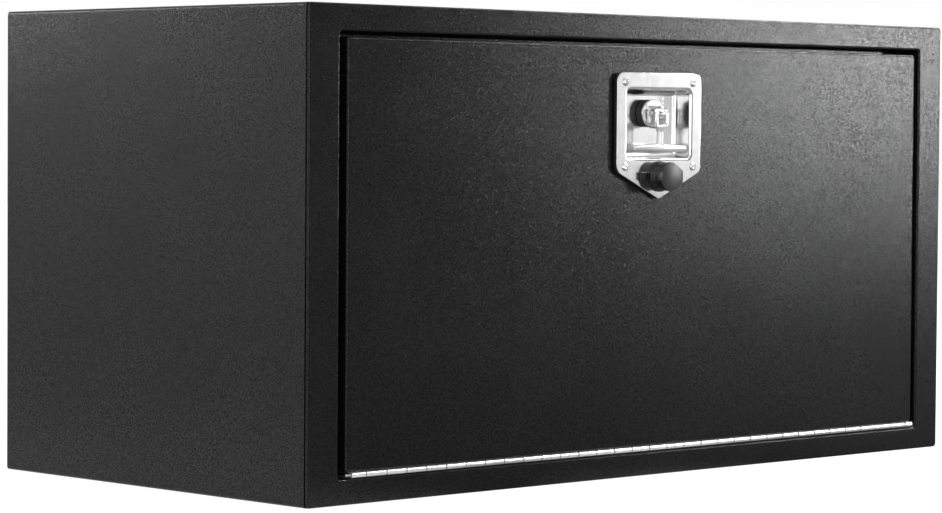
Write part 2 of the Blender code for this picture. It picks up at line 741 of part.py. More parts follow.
def latch_dish():
    """A shield-shaped plate with a pressed recess, its rolled edge, drawn walls and floor."""
    path = rounded([(-2 * RECESS_ROLL, PLATE_FACE), (0, PLATE_FACE), (RECESS_DRAFT, FLOOR_FACE),
                    (RECESS_DRAFT + 2 * RECESS_FLOOR_ROLL, FLOOR_FACE)],
                   [0, RECESS_ROLL, RECESS_FLOOR_ROLL, 0], closed=False)[1:-1]
    loops = [front_view(recess_outline(inset), out) for inset, out in path]
    bm = bmesh.new()
    loft(bm, loops)
    holes = [loops[0], front_view(circle(LOCK_RADIUS + RIVET_CLEARANCE, z=LOCK_HEIGHT), PLATE_FACE)]
    for x, z in latch_rivet_places():
        holes.append(front_view(circle(RIVET_RADIUS + RIVET_CLEARANCE, x, z, SMALL_TURN_STEPS), PLATE_FACE))
    fill_between(bm, front_view(shield(), PLATE_FACE), holes)
    hub_hole = front_view(circle(SHAFT_RADIUS + SHAFT_CLEARANCE, z=HUB_HEIGHT), FLOOR_FACE)
    fill_between(bm, loops[-1], [hub_hole])
    bmesh.ops.remove_doubles(bm, verts=bm.verts, dist=SEAM / 100)
    return sheet_object("latch_dish", bm, (0, -1, 0), PLATE_SHEET, "polished")


def latch_rivets():
    """Pop rivets: a domed head with the broken mandrel's dimple, and a shank through the door's skin."""
    base = PLATE_FACE + SEAM
    tip = base + RIVET_HEAD_HEIGHT
    tail = DOOR_INNER - RIVET_TAIL
    profile = [(0, base), (RIVET_DIMPLE, base), (RIVET_DIMPLE, tip), (RIVET_HEAD * DOME_SHARE, tip),
               (RIVET_HEAD * NEAR_SHARE, base + RIVET_HEAD_HEIGHT * DOME_SHARE), (RIVET_HEAD, base),
               (RIVET_RADIUS, base), (RIVET_RADIUS, tail), (0, tail)]
    return [turned(f"latch_rivet_{number}", profile, "stainless", x, z, steps=MIDDLE_TURN_STEPS)
            for number, (x, z) in enumerate(latch_rivet_places(), 1)]


def hub_seal():
    back, front = FLOOR_FACE + SEAM, HEAD_BACK - SEAM
    bore = SHAFT_RADIUS + SHAFT_CLEARANCE
    edge = (front - back) / 8
    profile = [(bore, front), (HUB_SEAL_RADIUS - edge, front), (HUB_SEAL_RADIUS, front - edge),
               (HUB_SEAL_RADIUS, back), (bore, back)]
    return turned("hub_seal", profile, "rubber", z=HUB_HEIGHT, ring=True)


def spindle_bushing():
    bore = SHAFT_RADIUS + SHAFT_CLEARANCE
    flange = BUSHING_FRONT - BUSHING_LENGTH / 4
    sleeve = (bore + BUSHING_RADIUS) / 2
    profile = [(bore, BUSHING_FRONT), (BUSHING_RADIUS, BUSHING_FRONT), (BUSHING_RADIUS, flange),
               (sleeve, flange), (sleeve, BUSHING_BACK), (bore, BUSHING_BACK)]
    return turned("spindle_bushing", profile, "zinc", z=HUB_HEIGHT, ring=True)


# The spindle and what turns with it

def head_blank():
    """The hub's round head, the shaft behind it and the thread at its end, as one turned shape."""
    square_front = DISC_FRONT + SEAM
    thread_end = NUT_BACK - SHAFT_END
    edge = HEAD_THICKNESS / 6
    profile = [(0, HEAD_FACE), (HUB_RADIUS - edge, HEAD_FACE), (HUB_RADIUS, HEAD_FACE - edge),
               (HUB_RADIUS, HEAD_BACK), (SHAFT_RADIUS, HEAD_BACK), (SHAFT_RADIUS, square_front),
               (THREAD_RADIUS, square_front), (THREAD_RADIUS, thread_end), (0, thread_end)]
    return turned("spindle", profile, "polished", z=HUB_HEIGHT)


def spindle():
    """The blank, with its face stepped below a chord, a tongue for the yoke and a square for the cam."""
    shape = head_blank()
    half = HUB_RADIUS + OVERRUN
    step = box("head_step_cutter", (-half, -HEAD_FACE - OVERRUN, HUB_HEIGHT - half),
               (half, -HEAD_FACE + HEAD_STEP, HUB_HEIGHT + HEAD_CHORD), None)
    boolean(shape, step)
    nose = arc(TONGUE_RADIUS, math.radians(90), math.radians(270), steps=8)
    root = YOKE_PIN_OUT - HEAD_FACE + HEAD_THICKNESS / 2
    outline = [(root, -TONGUE_RADIUS), (root, TONGUE_RADIUS)] + nose
    placed = [(p[0] - YOKE_PIN_OUT, p[1] + HUB_HEIGHT) for p in outline]
    tongue = side_solid("tongue", placed, -TONGUE_WIDTH / 2, TONGUE_WIDTH / 2, None)
    boolean(shape, tongue, "UNION")
    width = SQUARE_WIDTH / 2
    square = box("spindle_square", (-width, -DISC_FRONT, HUB_HEIGHT - width),
                 (width, -CAM_BACK, HUB_HEIGHT + width), None)
    boolean(shape, square, "UNION")
    boolean(shape, pin_drill("tongue_drill"))
    return shape


def pin_drill(name):
    half = YOKE_WIDTH / 2 + OVERRUN
    line = ((-half, -YOKE_PIN_OUT, HUB_HEIGHT), (half, -YOKE_PIN_OUT, HUB_HEIGHT))
    return rods(name, YOKE_PIN_RADIUS + RIVET_CLEARANCE, [line], steps=MIDDLE_TURN_STEPS)


def square_hole():
    width = SQUARE_WIDTH / 2 + SHAFT_CLEARANCE
    return [(-width, HUB_HEIGHT - width), (width, HUB_HEIGHT - width), (width, HUB_HEIGHT + width),
            (-width, HUB_HEIGHT + width)]


def notch_cutter(name, turns):
    """What the pawl's tip sweeps as it comes from +X, with a wall where the locked pawl stands.

    turns is how many quarter turns from the first notch this one lies.
    """
    swing = PAWL_REACH + PAWL_CLEARANCE
    wall = PAWL_TIP + PAWL_CLEARANCE
    far = DISC_RADIUS + OVERRUN
    drop = LOCK_HEIGHT - HUB_HEIGHT
    sweep = arc(swing, math.acos(far / swing), math.acos(-wall / swing), 0, drop)
    outline = [(far, -far)] + [(p[0], p[1]) for p in sweep] + [(-wall, -far)]
    angle = turns * math.pi / 2
    cosine, sine = math.cos(angle), math.sin(angle)
    placed = [(cosine * x - sine * z, HUB_HEIGHT + sine * x + cosine * z) for x, z in outline]
    return flat_solid(name, [placed], DISC_BACK - OVERRUN, DISC_FRONT + OVERRUN, None, mesh=True)


def lock_disc():
    disc = flat_solid("lock_disc", [circle(DISC_RADIUS, z=HUB_HEIGHT), square_hole()], DISC_BACK, DISC_FRONT,
                      "zinc", mesh=True)
    boolean(disc, notch_cutter("open_notch_cutter", 0))
    boolean(disc, notch_cutter("shut_notch_cutter", 1))
    return disc


def spindle_spacer():
    outlines = [circle(SPACER_RADIUS, z=HUB_HEIGHT, steps=MIDDLE_TURN_STEPS), square_hole()]
    return flat_solid("spindle_spacer", outlines, CAM_FRONT + SEAM, DISC_BACK - SEAM, "zinc")


def latch_cam():
    """The lever that turns up behind the frame's stop flange. At rest it points aside."""
    outline = lever(CAM_HUB, CAM_TIP, CAM_LENGTH - CAM_TIP, -1, HUB_HEIGHT)
    return flat_solid("latch_cam", [outline, square_hole()], CAM_BACK, CAM_FRONT, "zinc")


def cam_nut():
    hexagon = circle(NUT_RADIUS, z=HUB_HEIGHT, steps=6)
    bore = circle(THREAD_RADIUS + SHAFT_CLEARANCE, z=HUB_HEIGHT, steps=MIDDLE_TURN_STEPS)
    return flat_solid("cam_nut", [hexagon, bore], NUT_BACK, NUT_FRONT, "zinc")


# The T-handle

def yoke():
    """A closed U seen from the front, and a block with round arm ends seen from the side."""
    half = YOKE_WIDTH / 2
    gap = half - YOKE_ARM
    top, web = YOKE_BACK, -YOKE_WEB_INNER
    bottom = web - YOKE_WEB
    corners = [(-half, top), (-half, bottom), (half, bottom), (half, top), (gap, top), (gap, web),
               (-gap, web), (-gap, top)]
    radii = [0, YOKE_CORNER, YOKE_CORNER, 0, 0, YOKE_INNER_CORNER, YOKE_INNER_CORNER, 0]
    front = [(p[0], p[1] + HUB_HEIGHT) for p in rounded(corners, radii)]
    low, high = YOKE_PIN_OUT - YOKE_BACK - OVERRUN, YOKE_PIN_OUT + YOKE_FRONT + OVERRUN
    shape = flat_solid("t_handle", [front], low, high, "polished", mesh=True)
    corners = [(YOKE_BACK, bottom), (YOKE_BACK, top), (-YOKE_FRONT, top), (-YOKE_FRONT, bottom)]
    radii = [YOKE_EDGE, YOKE_BACK * NEAR_SHARE, YOKE_BACK * NEAR_SHARE, YOKE_EDGE]
    side = [(p[0] - YOKE_PIN_OUT, p[1] + HUB_HEIGHT) for p in rounded(corners, radii)]
    boolean(shape, side_solid("yoke_side", side, -half - OVERRUN, half + OVERRUN, None), "INTERSECT")
    return shape


def handle_bar():
    """The cigar-shaped bar: its radius falls from the middle to the round ends by a cosine."""
    straight = BAR_LENGTH / 2 - BAR_END_RADIUS
    swell = BAR_RADIUS - BAR_END_RADIUS
    body = []
    for k in range(-BAR_STEPS, BAR_STEPS + 1):
        share = k / BAR_STEPS
        body.append((BAR_END_RADIUS + swell * math.cos(share * math.pi / 2), -straight * share))
    cap = [(p[0], p[1] + straight) for p in arc(BAR_END_RADIUS, math.pi / 2, 0, steps=2)[:-1]]
    tail = [(r, -h) for r, h in reversed(cap)]
    profile = [(max(r, 0), h) for r, h in cap + body + tail]
    profile[0] = (0, straight + BAR_END_RADIUS)
    profile[-1] = (0, -straight - BAR_END_RADIUS)
    bar = turned("handle_bar", profile, None, steps=MIDDLE_TURN_STEPS)
    bar.location = (0, -YOKE_PIN_OUT - BAR_FORWARD, BAR_Z)
    bar.rotation_euler = (0, math.pi / 2, 0)
    return bar


def t_handle():
    handle = yoke()
    out = YOKE_PIN_OUT + BAR_FORWARD
    top = HUB_HEIGHT - YOKE_WEB_INNER - YOKE_WEB / 2
    shank = rods("handle_shank", SHANK_RADIUS, [((0, -out, BAR_Z), (0, -out, top))], steps=MIDDLE_TURN_STEPS)
    boolean(handle, shank, "UNION")
    boolean(handle, handle_bar(), "UNION")
    boolean(handle, pin_drill("yoke_drill"))
    return handle


def yoke_pin():
    """The pin through the yoke and tongue, with a dimple in each end."""
    half = YOKE_WIDTH / 2 + YOKE_PIN_PROUD
    depth = half - YOKE_PIN_DIMPLE_DEPTH
    r, dimple = YOKE_PIN_RADIUS, YOKE_PIN_DIMPLE
    edge = YOKE_PIN_PROUD / 4
    near = [(0, depth), (dimple, depth), (dimple, half), (r - edge, half), (r, half - edge)]
    profile = near + [(radius, -place) for radius, place in reversed(near)]
    pin = turned("yoke_pin", profile, "stainless", steps=MIDDLE_TURN_STEPS)
    pin.location = (0, -YOKE_PIN_OUT, HUB_HEIGHT)
    pin.rotation_euler = (0, math.pi / 2, 0)
    return pin


# The key lock

def lock_housing():
    bore = PLUG_RADIUS + PLUG_CLEARANCE
    base = PLATE_FACE + SEAM
    front = base + LOCK_HEAD_HEIGHT
    back = DISC_FRONT + 2 * SEAM + PLUG_TAIL_STEP
    edge = LOCK_HEAD_HEIGHT / 4
    profile = [(bore, front), (LOCK_HEAD_RADIUS - edge, front), (LOCK_HEAD_RADIUS, front - edge),
               (LOCK_HEAD_RADIUS, base), (LOCK_RADIUS, base), (LOCK_RADIUS, back), (bore, back)]
    return turned("lock_housing", profile, "polished", z=LOCK_HEIGHT, ring=True)


def lock_nut():
    front = DOOR_INNER - SEAM
    hexagon = circle(LOCK_NUT_RADIUS, z=LOCK_HEIGHT, steps=6)
    bore = circle(LOCK_RADIUS + SHAFT_CLEARANCE, z=LOCK_HEIGHT)
    return flat_solid("lock_nut", [hexagon, bore], front - LOCK_NUT_THICKNESS, front, "zinc")


def lock_plug():
    """The plug with its keyway, and a drilled tail that carries the pawl."""
    front = PLATE_FACE + SEAM + LOCK_HEAD_HEIGHT - SEAM
    shoulder = DISC_FRONT + SEAM
    tail = DISC_BACK - SEAM / 2
    bottom = tail + SCREW_LENGTH + SEAM
    profile = [(0, front), (PLUG_RADIUS, front), (PLUG_RADIUS, shoulder), (PLUG_TAIL_RADIUS, shoulder),
               (PLUG_TAIL_RADIUS, tail), (SCREW_BORE, tail), (SCREW_BORE, bottom), (0, bottom)]
    plug = turned("lock_plug", profile, "stainless", z=LOCK_HEIGHT)
    half_width, half_height = KEYWAY_WIDTH / 2, KEYWAY_HEIGHT / 2
    keyway = box("keyway_cutter", (-half_width, -front - OVERRUN, LOCK_HEIGHT - half_height),
                 (half_width, -front + KEYWAY_DEPTH, LOCK_HEIGHT + half_height), None)
    boolean(plug, keyway)
    return plug


def lock_pawl():
    outline = lever(PAWL_HUB, PAWL_TIP, PAWL_REACH - PAWL_TIP, 1, LOCK_HEIGHT)
    bore = circle(PLUG_TAIL_RADIUS + PLUG_CLEARANCE, z=LOCK_HEIGHT, steps=MIDDLE_TURN_STEPS)
    return flat_solid("lock_pawl", [outline, bore], DISC_BACK, DISC_FRONT, "zinc")


def pawl_screw():
    base = DISC_BACK - SEAM
    end = base - SCREW_HEAD_HEIGHT
    tip = base + SCREW_LENGTH - SEAM
    profile = [(0, tip), (SCREW_RADIUS, tip), (SCREW_RADIUS, base), (SCREW_HEAD, base), (SCREW_HEAD, end),
               (0, end)]
    return turned("pawl_screw", profile, "zinc", z=LOCK_HEIGHT, steps=MIDDLE_TURN_STEPS)


# The dust cap

def dust_cap():
    """A rubber cup over the lock's head, with a thumb tab on its lid and the strap along its left side."""
    inside = CAP_RADIUS - CAP_WALL
    lid_back = CAP_FRONT - CAP_LID
    middle = CAP_FRONT - CAP_LID / 2
    rim = CAP_BACK + CAP_RIM_HEIGHT
    profile = [(0, middle), (CAP_RADIUS, middle), (CAP_RADIUS, rim), (CAP_RIM_RADIUS, rim),
               (CAP_RIM_RADIUS, CAP_BACK), (inside, CAP_BACK), (inside, lid_back), (0, lid_back)]
    cap = turned("dust_cap", profile, "rubber", z=LOCK_HEIGHT)
    boolean(cap, cap_lid(lid_back), "UNION")
    boolean(cap, cap_strap(), "UNION")
    return cap


def cap_lid(lid_back):
    """The round lid, drawn out by two straight edges to a blunt thumb tab at +X."""
    lean = math.acos(CAP_LID_RADIUS / math.hypot(CAP_TAB_REACH, CAP_TAB_HALF))
    corner = math.atan2(CAP_TAB_HALF, CAP_TAB_REACH)
    start = corner + lean
    outline = arc(CAP_LID_RADIUS, start, 2 * math.pi - start, 0, 0, TURN_STEPS)
    outline += [Vector((CAP_TAB_REACH, -CAP_TAB_HALF)), Vector((CAP_TAB_REACH, CAP_TAB_HALF))]
    placed = [(p[0], p[1] + LOCK_HEIGHT) for p in outline]
    return flat_solid("cap_lid", [placed], lid_back + CAP_LID / 8, CAP_FRONT, None, mesh=True)


def cap_strap():
    """The strap, seen from above: flat at its fold, then forward along the cap's side and into the lid."""
    inner = -CAP_RIM_RADIUS - STRAP_GAP / 4
    outer = inner - STRAP_SHEET
    start = -STRAP_AXIS + STRAP_START
    low, high = STRAP_OUT - STRAP_SHEET / 2, STRAP_OUT + STRAP_SHEET / 2
    root = -CAP_LID_RADIUS + CAP_WALL
    lid = CAP_FRONT - CAP_LID * NEAR_SHARE
    front = CAP_FRONT - CAP_LID / 8
    outline = [(start, low), (inner, low), (inner, lid), (root, lid), (root, front), (outer, front),
               (outer, high), (start, high)]
    half = STRAP_HEIGHT / 2
    strap = flat_solid("cap_strap", [outline], LOCK_HEIGHT - half, LOCK_HEIGHT + half, None)
    strap.location = (0, 0, LOCK_HEIGHT)
    strap.rotation_euler = (math.pi, 0, 0)
    return as_mesh(strap, None)


def strap_foot():
    """The strap's fixed end, flat on the plate."""
    end = -STRAP_AXIS - FOOT_START
    return box("strap_foot", (end - FOOT_LENGTH, -CAP_BACK - STRAP_SHEET, LOCK_HEIGHT - STRAP_HEIGHT / 2),
               (end, -CAP_BACK, LOCK_HEIGHT + STRAP_HEIGHT / 2), "rubber")


def build():
    body_wrap()
    end_panel("left_end_panel", -1)
    end_panel("right_end_panel", 1)
    front_frame()
    door_seal()
    hinge_leaf("hinge_frame_leaf", -1, 1, frame_rivet_places())
    hinge_pin()
    leaf_rivets("frame_leaf_rivet", -1, frame_rivet_places())

    door = axis_empty("door_axis", 0, HINGE_OUT, HINGE_Z)
    hub = axis_empty("spindle_axis", 0, HEAD_FACE, HUB_HEIGHT)
    fold = axis_empty("handle_axis", 0, YOKE_PIN_OUT, HUB_HEIGHT)
    lock = axis_empty("lock_axis", 0, PLATE_FACE, LOCK_HEIGHT)
    strap = axis_empty("dust_cap_axis", -STRAP_AXIS, STRAP_OUT, LOCK_HEIGHT)

    carry(fold, [t_handle(), yoke_pin()])
    carry(hub, [spindle(), lock_disc(), spindle_spacer(), latch_cam(), cam_nut(), fold])
    carry(lock, [lock_plug(), lock_pawl(), pawl_screw()])
    carry(strap, [dust_cap()])
    pieces = [door_skin(), hinge_leaf("hinge_door_leaf", 1, 0, door_rivet_places())]
    pieces += [door_stiffener("left_door_stiffener", -1), door_stiffener("right_door_stiffener", 1)]
    pieces += leaf_rivets("door_leaf_rivet", 1, door_rivet_places())
    pieces += [latch_gasket(), latch_dish(), hub_seal(), spindle_bushing()]
    pieces += [lock_housing(), lock_nut(), strap_foot()]
    pieces += latch_rivets()
    carry(door, pieces + [hub, lock, strap])


build()
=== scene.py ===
import math

import bmesh
import bpy
import numpy as np
from mathutils import Matrix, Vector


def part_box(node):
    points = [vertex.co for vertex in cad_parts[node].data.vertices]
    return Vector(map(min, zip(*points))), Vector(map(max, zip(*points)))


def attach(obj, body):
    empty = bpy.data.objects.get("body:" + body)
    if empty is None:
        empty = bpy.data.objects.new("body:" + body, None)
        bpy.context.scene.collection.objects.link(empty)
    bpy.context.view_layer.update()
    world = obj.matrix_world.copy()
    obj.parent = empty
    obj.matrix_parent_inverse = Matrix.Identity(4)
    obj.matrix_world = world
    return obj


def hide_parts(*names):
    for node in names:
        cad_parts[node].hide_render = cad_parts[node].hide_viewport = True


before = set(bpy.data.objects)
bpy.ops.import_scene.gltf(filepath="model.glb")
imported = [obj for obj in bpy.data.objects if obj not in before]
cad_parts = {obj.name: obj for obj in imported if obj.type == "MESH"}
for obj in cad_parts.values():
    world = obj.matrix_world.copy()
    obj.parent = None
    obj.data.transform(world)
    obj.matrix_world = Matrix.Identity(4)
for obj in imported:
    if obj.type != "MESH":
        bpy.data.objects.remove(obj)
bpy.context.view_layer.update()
print("frame loaded:", len(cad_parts), "nodes")


# Shader maths

class Value:
    # A socket of a material. Sums, products and quotients add Math nodes.
    def __init__(self, finish, socket):
        self.finish, self.socket = finish, socket

    def __add__(self, other):
        return self.finish.math("ADD", self, other)

    def __radd__(self, other):
        return self.finish.math("ADD", other, self)

    def __sub__(self, other):
        return self.finish.math("SUBTRACT", self, other)

    def __rsub__(self, other):
        return self.finish.math("SUBTRACT", other, self)

    def __mul__(self, other):
        return self.finish.math("MULTIPLY", self, other)

    def __rmul__(self, other):
        return self.finish.math("MULTIPLY", other, self)

    def __truediv__(self, other):
        return self.finish.math("DIVIDE", self, other)

    def part(self, name):
        return Value(self.finish, self.socket.node.outputs[name])


class Nodes:
    # Builds a node tree: node() takes a type, its settings, and what its sockets get.
    def __init__(self, tree):
        self.tree = tree

    def node(self, kind, settings=None, inputs=None, output=0):
        made = self.tree.nodes.new("ShaderNode" + kind)
        for name, value in (settings or {}).items():
            setattr(made, name, value)
        for name, value in (inputs or {}).items():
            socket = made.inputs[name]
            if isinstance(value, Value):
                self.tree.links.new(value.socket, socket)
            else:
                socket.default_value = value
        return Value(self, made.outputs[output]) if len(made.outputs) else None

    def math(self, operation, first, second=0.0):
        return self.node("Math", {"operation": operation}, {0: first, 1: second})

    def measure(self, operation, inputs):
        return self.node("VectorMath", {"operation": operation}, inputs, output="Value")

    def smooth(self, value, low, high):
        # 0 below low, 1 above high, an S curve between
        settings = {"interpolation_type": "SMOOTHSTEP"}
        return self.node("MapRange", settings, {"Value": value, "From Min": low, "From Max": high})

    def mix(self, share, first, second):
        settings = {"data_type": "RGBA"}
        inputs = {0: share, 6: first, 7: second}
        return self.node("Mix", settings, inputs, output=2)

    def noise(self, vector, scale, detail=2.0, roughness=0.5):
        inputs = {"Vector": vector, "Scale": scale, "Detail": detail, "Roughness": roughness}
        return self.node("TexNoise", None, inputs)

    def stretch(self, vector, scale):
        return self.node("Mapping", {"vector_type": "POINT"}, {"Vector": vector, "Scale": scale})


def newFinish(name, constants):
    # A material with a Principled shader, and the Object coordinates for its patterns.
    material = bpy.data.materials.new(name)
    material.use_nodes = True
    tree = material.node_tree
    shader = tree.nodes["Principled BSDF"]
    for socket, value in constants.items():
        shader.inputs[socket].default_value = value
    nodes = Nodes(tree)
    place = nodes.node("TexCoord", None, None, output="Object")
    return material, nodes, shader, place


def feed(nodes, shader, links):
    for socket, value in links.items():
        nodes.tree.links.new(value.socket, shader.inputs[socket])


def grey(level):
    return (level, level, level, 1)


def powderCoat():
    # A low stipple whose grains differ in gloss, so that some of them glint.
    look = {
        "colour": (0.0062, 0.0062, 0.0065, 1), "worn": (0.0082, 0.0082, 0.0085, 1),
        "specular": 0.12, "roughness": 0.20, "roughnessSwing": 0.04, "glint": 0.37, "glintFrom": (0.42, 0.58),
        "stipple": 950, "fleck": 1200, "fine": 2000, "stippleHeight": 0.00012, "fineHeight": 0.00001,
        "cloud": 9.0, "wornFrom": (0.4, 0.65),
    }
    material, nodes, shader, place = newFinish("powderCoat", {"Specular IOR Level": look["specular"]})
    stipple = nodes.noise(place, look["stipple"], 0.0)
    fine = nodes.noise(place, look["fine"], 1.0)
    fleck = nodes.noise(place, look["fleck"], 0.0)
    cloud = nodes.noise(place, look["cloud"], 3.0)
    height = stipple * look["stippleHeight"] + fine * look["fineHeight"]
    bump = nodes.node("Bump", None, {"Height": height, "Distance": 1.0, "Strength": 1.0})
    surface = {
        "Base Color": nodes.mix(nodes.smooth(cloud, *look["wornFrom"]), look["colour"], look["worn"]),
        "Roughness": look["roughness"] + (cloud - 0.5) * look["roughnessSwing"],
        "Normal": bump}
    feed(nodes, shader, surface)
    bright = nodes.node("BsdfPrincipled", None, {"Specular IOR Level": look["glint"], **surface})
    share = nodes.smooth(fleck, *look["glintFrom"])
    both = nodes.node("MixShader", None, {0: share, 1: Value(nodes, shader.outputs[0]), 2: bright})
    nodes.tree.links.new(both.socket, nodes.tree.nodes["Material Output"].inputs["Surface"])
    return material


def steel(name, colour, roughness, swing, streak, streakAlong, height, cloudScale=60, metallic=1.0):
    # Metal with fine streaks along one direction, faint smudges, and a soft bump. A blasted or tumbled
    # metal is less than fully metallic.
    material, nodes, shader, place = newFinish(name, {"Metallic": metallic})
    squeeze = [streak if axis != streakAlong else streak / 40 for axis in "xyz"]
    lines = nodes.noise(nodes.stretch(place, squeeze), 1.0, 3.0, 0.6)
    cloud = nodes.noise(place, cloudScale, 3.0)
    dark = tuple(c * 0.92 for c in colour)
    feed(nodes, shader, {
        "Base Color": nodes.mix(nodes.smooth(cloud, 0.35, 0.7), (*colour, 1), (*dark, 1)),
        "Roughness": roughness + (lines - 0.5) * swing + (cloud - 0.5) * swing,
        "Normal": nodes.node("Bump", None, {"Height": lines, "Distance": height, "Strength": 1.0})})
    return material


def blackRubber(name, colour, roughness, grain=900, specular=0.4):
    material, nodes, shader, place = newFinish(name, {"Specular IOR Level": specular})
    fine = nodes.noise(place, grain, 3.0)
    cloud = nodes.noise(place, 120, 3.0)
    pale = tuple(c * 1.7 for c in colour)
    feed(nodes, shader, {
        "Base Color": nodes.mix(nodes.smooth(cloud, 0.45, 0.75), (*colour, 1), (*pale, 1)),
        "Roughness": roughness + (fine - 0.5) * 0.15,
        "Normal": nodes.node("Bump", None, {"Height": fine, "Distance": 0.00004, "Strength": 1.0})})
    return material


finishes = {
    "powder_coat": powderCoat(),
    "stainless": steel("millStainless", (0.90, 0.90, 0.89), 0.32, 0.08, 1500, "x", 0.000004, metallic=0.7),
    "polished_stainless": steel("brightStainless", (0.92, 0.92, 0.92), 0.16, 0.04, 2500, "x", 0.0000008,
                                metallic=0.85),
    "castStainless": steel("castStainless", (0.92, 0.92, 0.92), 0.24, 0.04, 2500, "x", 0.0000008,
                           metallic=0.6),
    "plate": steel("satinStainless", (0.86, 0.86, 0.86), 0.12, 0.03, 2200, "x", 0.0000006),
    "rivetSteel": steel("rivetSteel", (0.86, 0.86, 0.85), 0.12, 0.04, 2500, "x", 0.0000008),
    # The hinge pin's dark steel is partly its own dark tone and partly painted shade, which darkens the gaps
    # between the knuckles.
    "pinSteel": steel("pinSteel", (0.30, 0.30, 0.30), 0.36, 0.10, 1500, "x", 0.000004),
    "zinc_plate": steel("zincPlate", (0.60, 0.60, 0.57), 0.34, 0.16, 260, "z", 0.000006, 220),
    "rubber": blackRubber("blackRubber", (0.016, 0.016, 0.017), 0.50),
    "capRubber": blackRubber("capRubber", (0.010, 0.010, 0.0105), 0.31, 700, 0.5),
}
print("finishes made")


# Surfaces as whole arrays

def unit(vectors):
    return vectors / np.linalg.norm(vectors, axis=-1, keepdims=True)


def bentPath(corners, radii, steps=8, lead=0.0002, closed=False):
    # Each corner turns into an arc: centre - s r n(a), where n is the left normal of the stretch before it
    # turned by a, from 0 to the corner's own turn, and s is the turn's sign. A point stands close
    # before and after each arc, so that the flats stay flat. Returns the points and their left normals.
    c = np.array(corners, float)
    r = np.broadcast_to(np.array(radii, float), len(c))
    before = unit(c - np.roll(c, 1, 0))
    after = np.roll(before, -1, 0)
    turn = np.arctan2(before[:, 0] * after[:, 1] - before[:, 1] * after[:, 0], (before * after).sum(1))
    side = np.sign(turn)
    left = np.stack([-before[:, 1], before[:, 0]], 1)
    start = c - before * (r * np.tan(np.abs(turn) / 2))[:, None]
    centre = start + left * (side * r)[:, None]
    angle = turn[:, None] * np.linspace(0, 1, steps + 1)
    cosine, sine = np.cos(angle), np.sin(angle)
    normal = np.stack([left[:, None, 0] * cosine - left[:, None, 1] * sine,
                       left[:, None, 0] * sine + left[:, None, 1] * cosine], -1)
    bend = centre[:, None] - normal * (side * r)[:, None, None]
    entry, leave = bend[:, :1] - before[:, None] * lead, bend[:, -1:] + after[:, None] * lead
    points = np.concatenate([entry, bend, leave], 1)
    normals = np.concatenate([normal[:, :1], normal, normal[:, -1:]], 1)
    if closed:
        return points.reshape(-1, 2), normals.reshape(-1, 2)
    ends = np.array([left[1], left[-1]])
    points = np.concatenate([c[:1], points[1:-1].reshape(-1, 2), c[-1:]])
    normals = np.concatenate([ends[:1], normals[1:-1].reshape(-1, 2), ends[1:]])
    return points, normals


def rectLoops(x0, x1, z0, z1, radius, insets, steps=8, lead=0.0004, least=0.0004):
    # One rounded rectangle for each inset i: corner centres at x0 + i + r and so on, with r = radius - i,
    # and points centre + r (cos a, sin a) over a quarter turn at each corner.
    inset = np.atleast_1d(np.array(insets, float))[:, None, None]
    r = np.maximum(radius - inset, least)
    a = (np.arange(4)[:, None] - 1) * math.pi / 2 + np.linspace(0, math.pi / 2, steps + 1)
    cx = np.array([x1, x1, x0, x0])[:, None] + np.array([-1, -1, 1, 1])[:, None] * (inset + r)
    cz = np.array([z0, z1, z1, z0])[:, None] + np.array([1, -1, -1, 1])[:, None] * (inset + r)
    arcs = np.stack([cx + r * np.cos(a), cz + r * np.sin(a)], -1)
    travel = np.stack([-np.sin(a), np.cos(a)], -1)
    entry, leave = arcs[:, :, :1] - lead * travel[:, :1], arcs[:, :, -1:] + lead * travel[:, -1:]
    loops = np.concatenate([entry, arcs, leave], 2)
    return loops.reshape(len(loops), -1, 2)


def frontView(loops, out):
    # Loops of (x, z) at their distances out
    out = np.broadcast_to(np.array(out, float).reshape(-1, 1), loops.shape[:2])
    return np.stack([loops[..., 0], -out, loops[..., 1]], -1)


def quadFaces(rows, cols, wrapU, wrapV, first=0):
    i = np.arange(rows - (not wrapU))[:, None]
    j = np.arange(cols - (not wrapV))[None, :]
    nextI, nextJ = (i + 1) % rows, (j + 1) % cols
    corners = [i * cols + j, nextI * cols + j, nextI * cols + nextJ, i * cols + nextJ]
    return (np.stack(corners, -1) + first).reshape(-1, 4)


def cleanMesh(name, points, faces):
    # A mesh from arrays: doubles merged, faces turned outwards.
    mesh = bpy.data.meshes.new(name)
    mesh.from_pydata(points.reshape(-1, 3).tolist(), [], faces)
    bm = bmesh.new()
    bm.from_mesh(mesh)
    bmesh.ops.delete(bm, geom=[v for v in bm.verts if not v.link_faces], context="VERTS")
    bmesh.ops.remove_doubles(bm, verts=bm.verts, dist=1e-7)
    bmesh.ops.recalc_face_normals(bm, faces=bm.faces)
    bm.to_mesh(mesh)
    bm.free()
    return mesh


def smoothen(mesh, sharp=35):
    # Smooth but for edges sharper than this many degrees
    mesh.shade_smooth()
    mesh.set_sharp_from_angle(angle=math.radians(sharp))


def addPiece(name, points, faces, body, finish, slot=None, nodes=()):
    mesh = cleanMesh(name, points, faces)
    smoothen(mesh)
    mesh.materials.append(finishes[finish])
    piece = bpy.data.objects.new(name, mesh)
    bpy.context.scene.collection.objects.link(piece)
    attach(piece, body)
    if nodes:
        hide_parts(*nodes)
    return piece


def shell(name, grid, body, finish, wrapU=False, wrapV=True, closed="", **more):
    # A grid of points as one surface. Closed "both" or "last" puts flat faces on those rows.
    rows, cols = grid.shape[:2]
    faces = quadFaces(rows, cols, wrapU, wrapV).tolist()
    if closed == "both":
        faces.append(list(range(cols)))
    if closed:
        faces.append(list(range((rows - 1) * cols, rows * cols))[::-1])
    return addPiece(name, grid, faces, body, finish, **more)


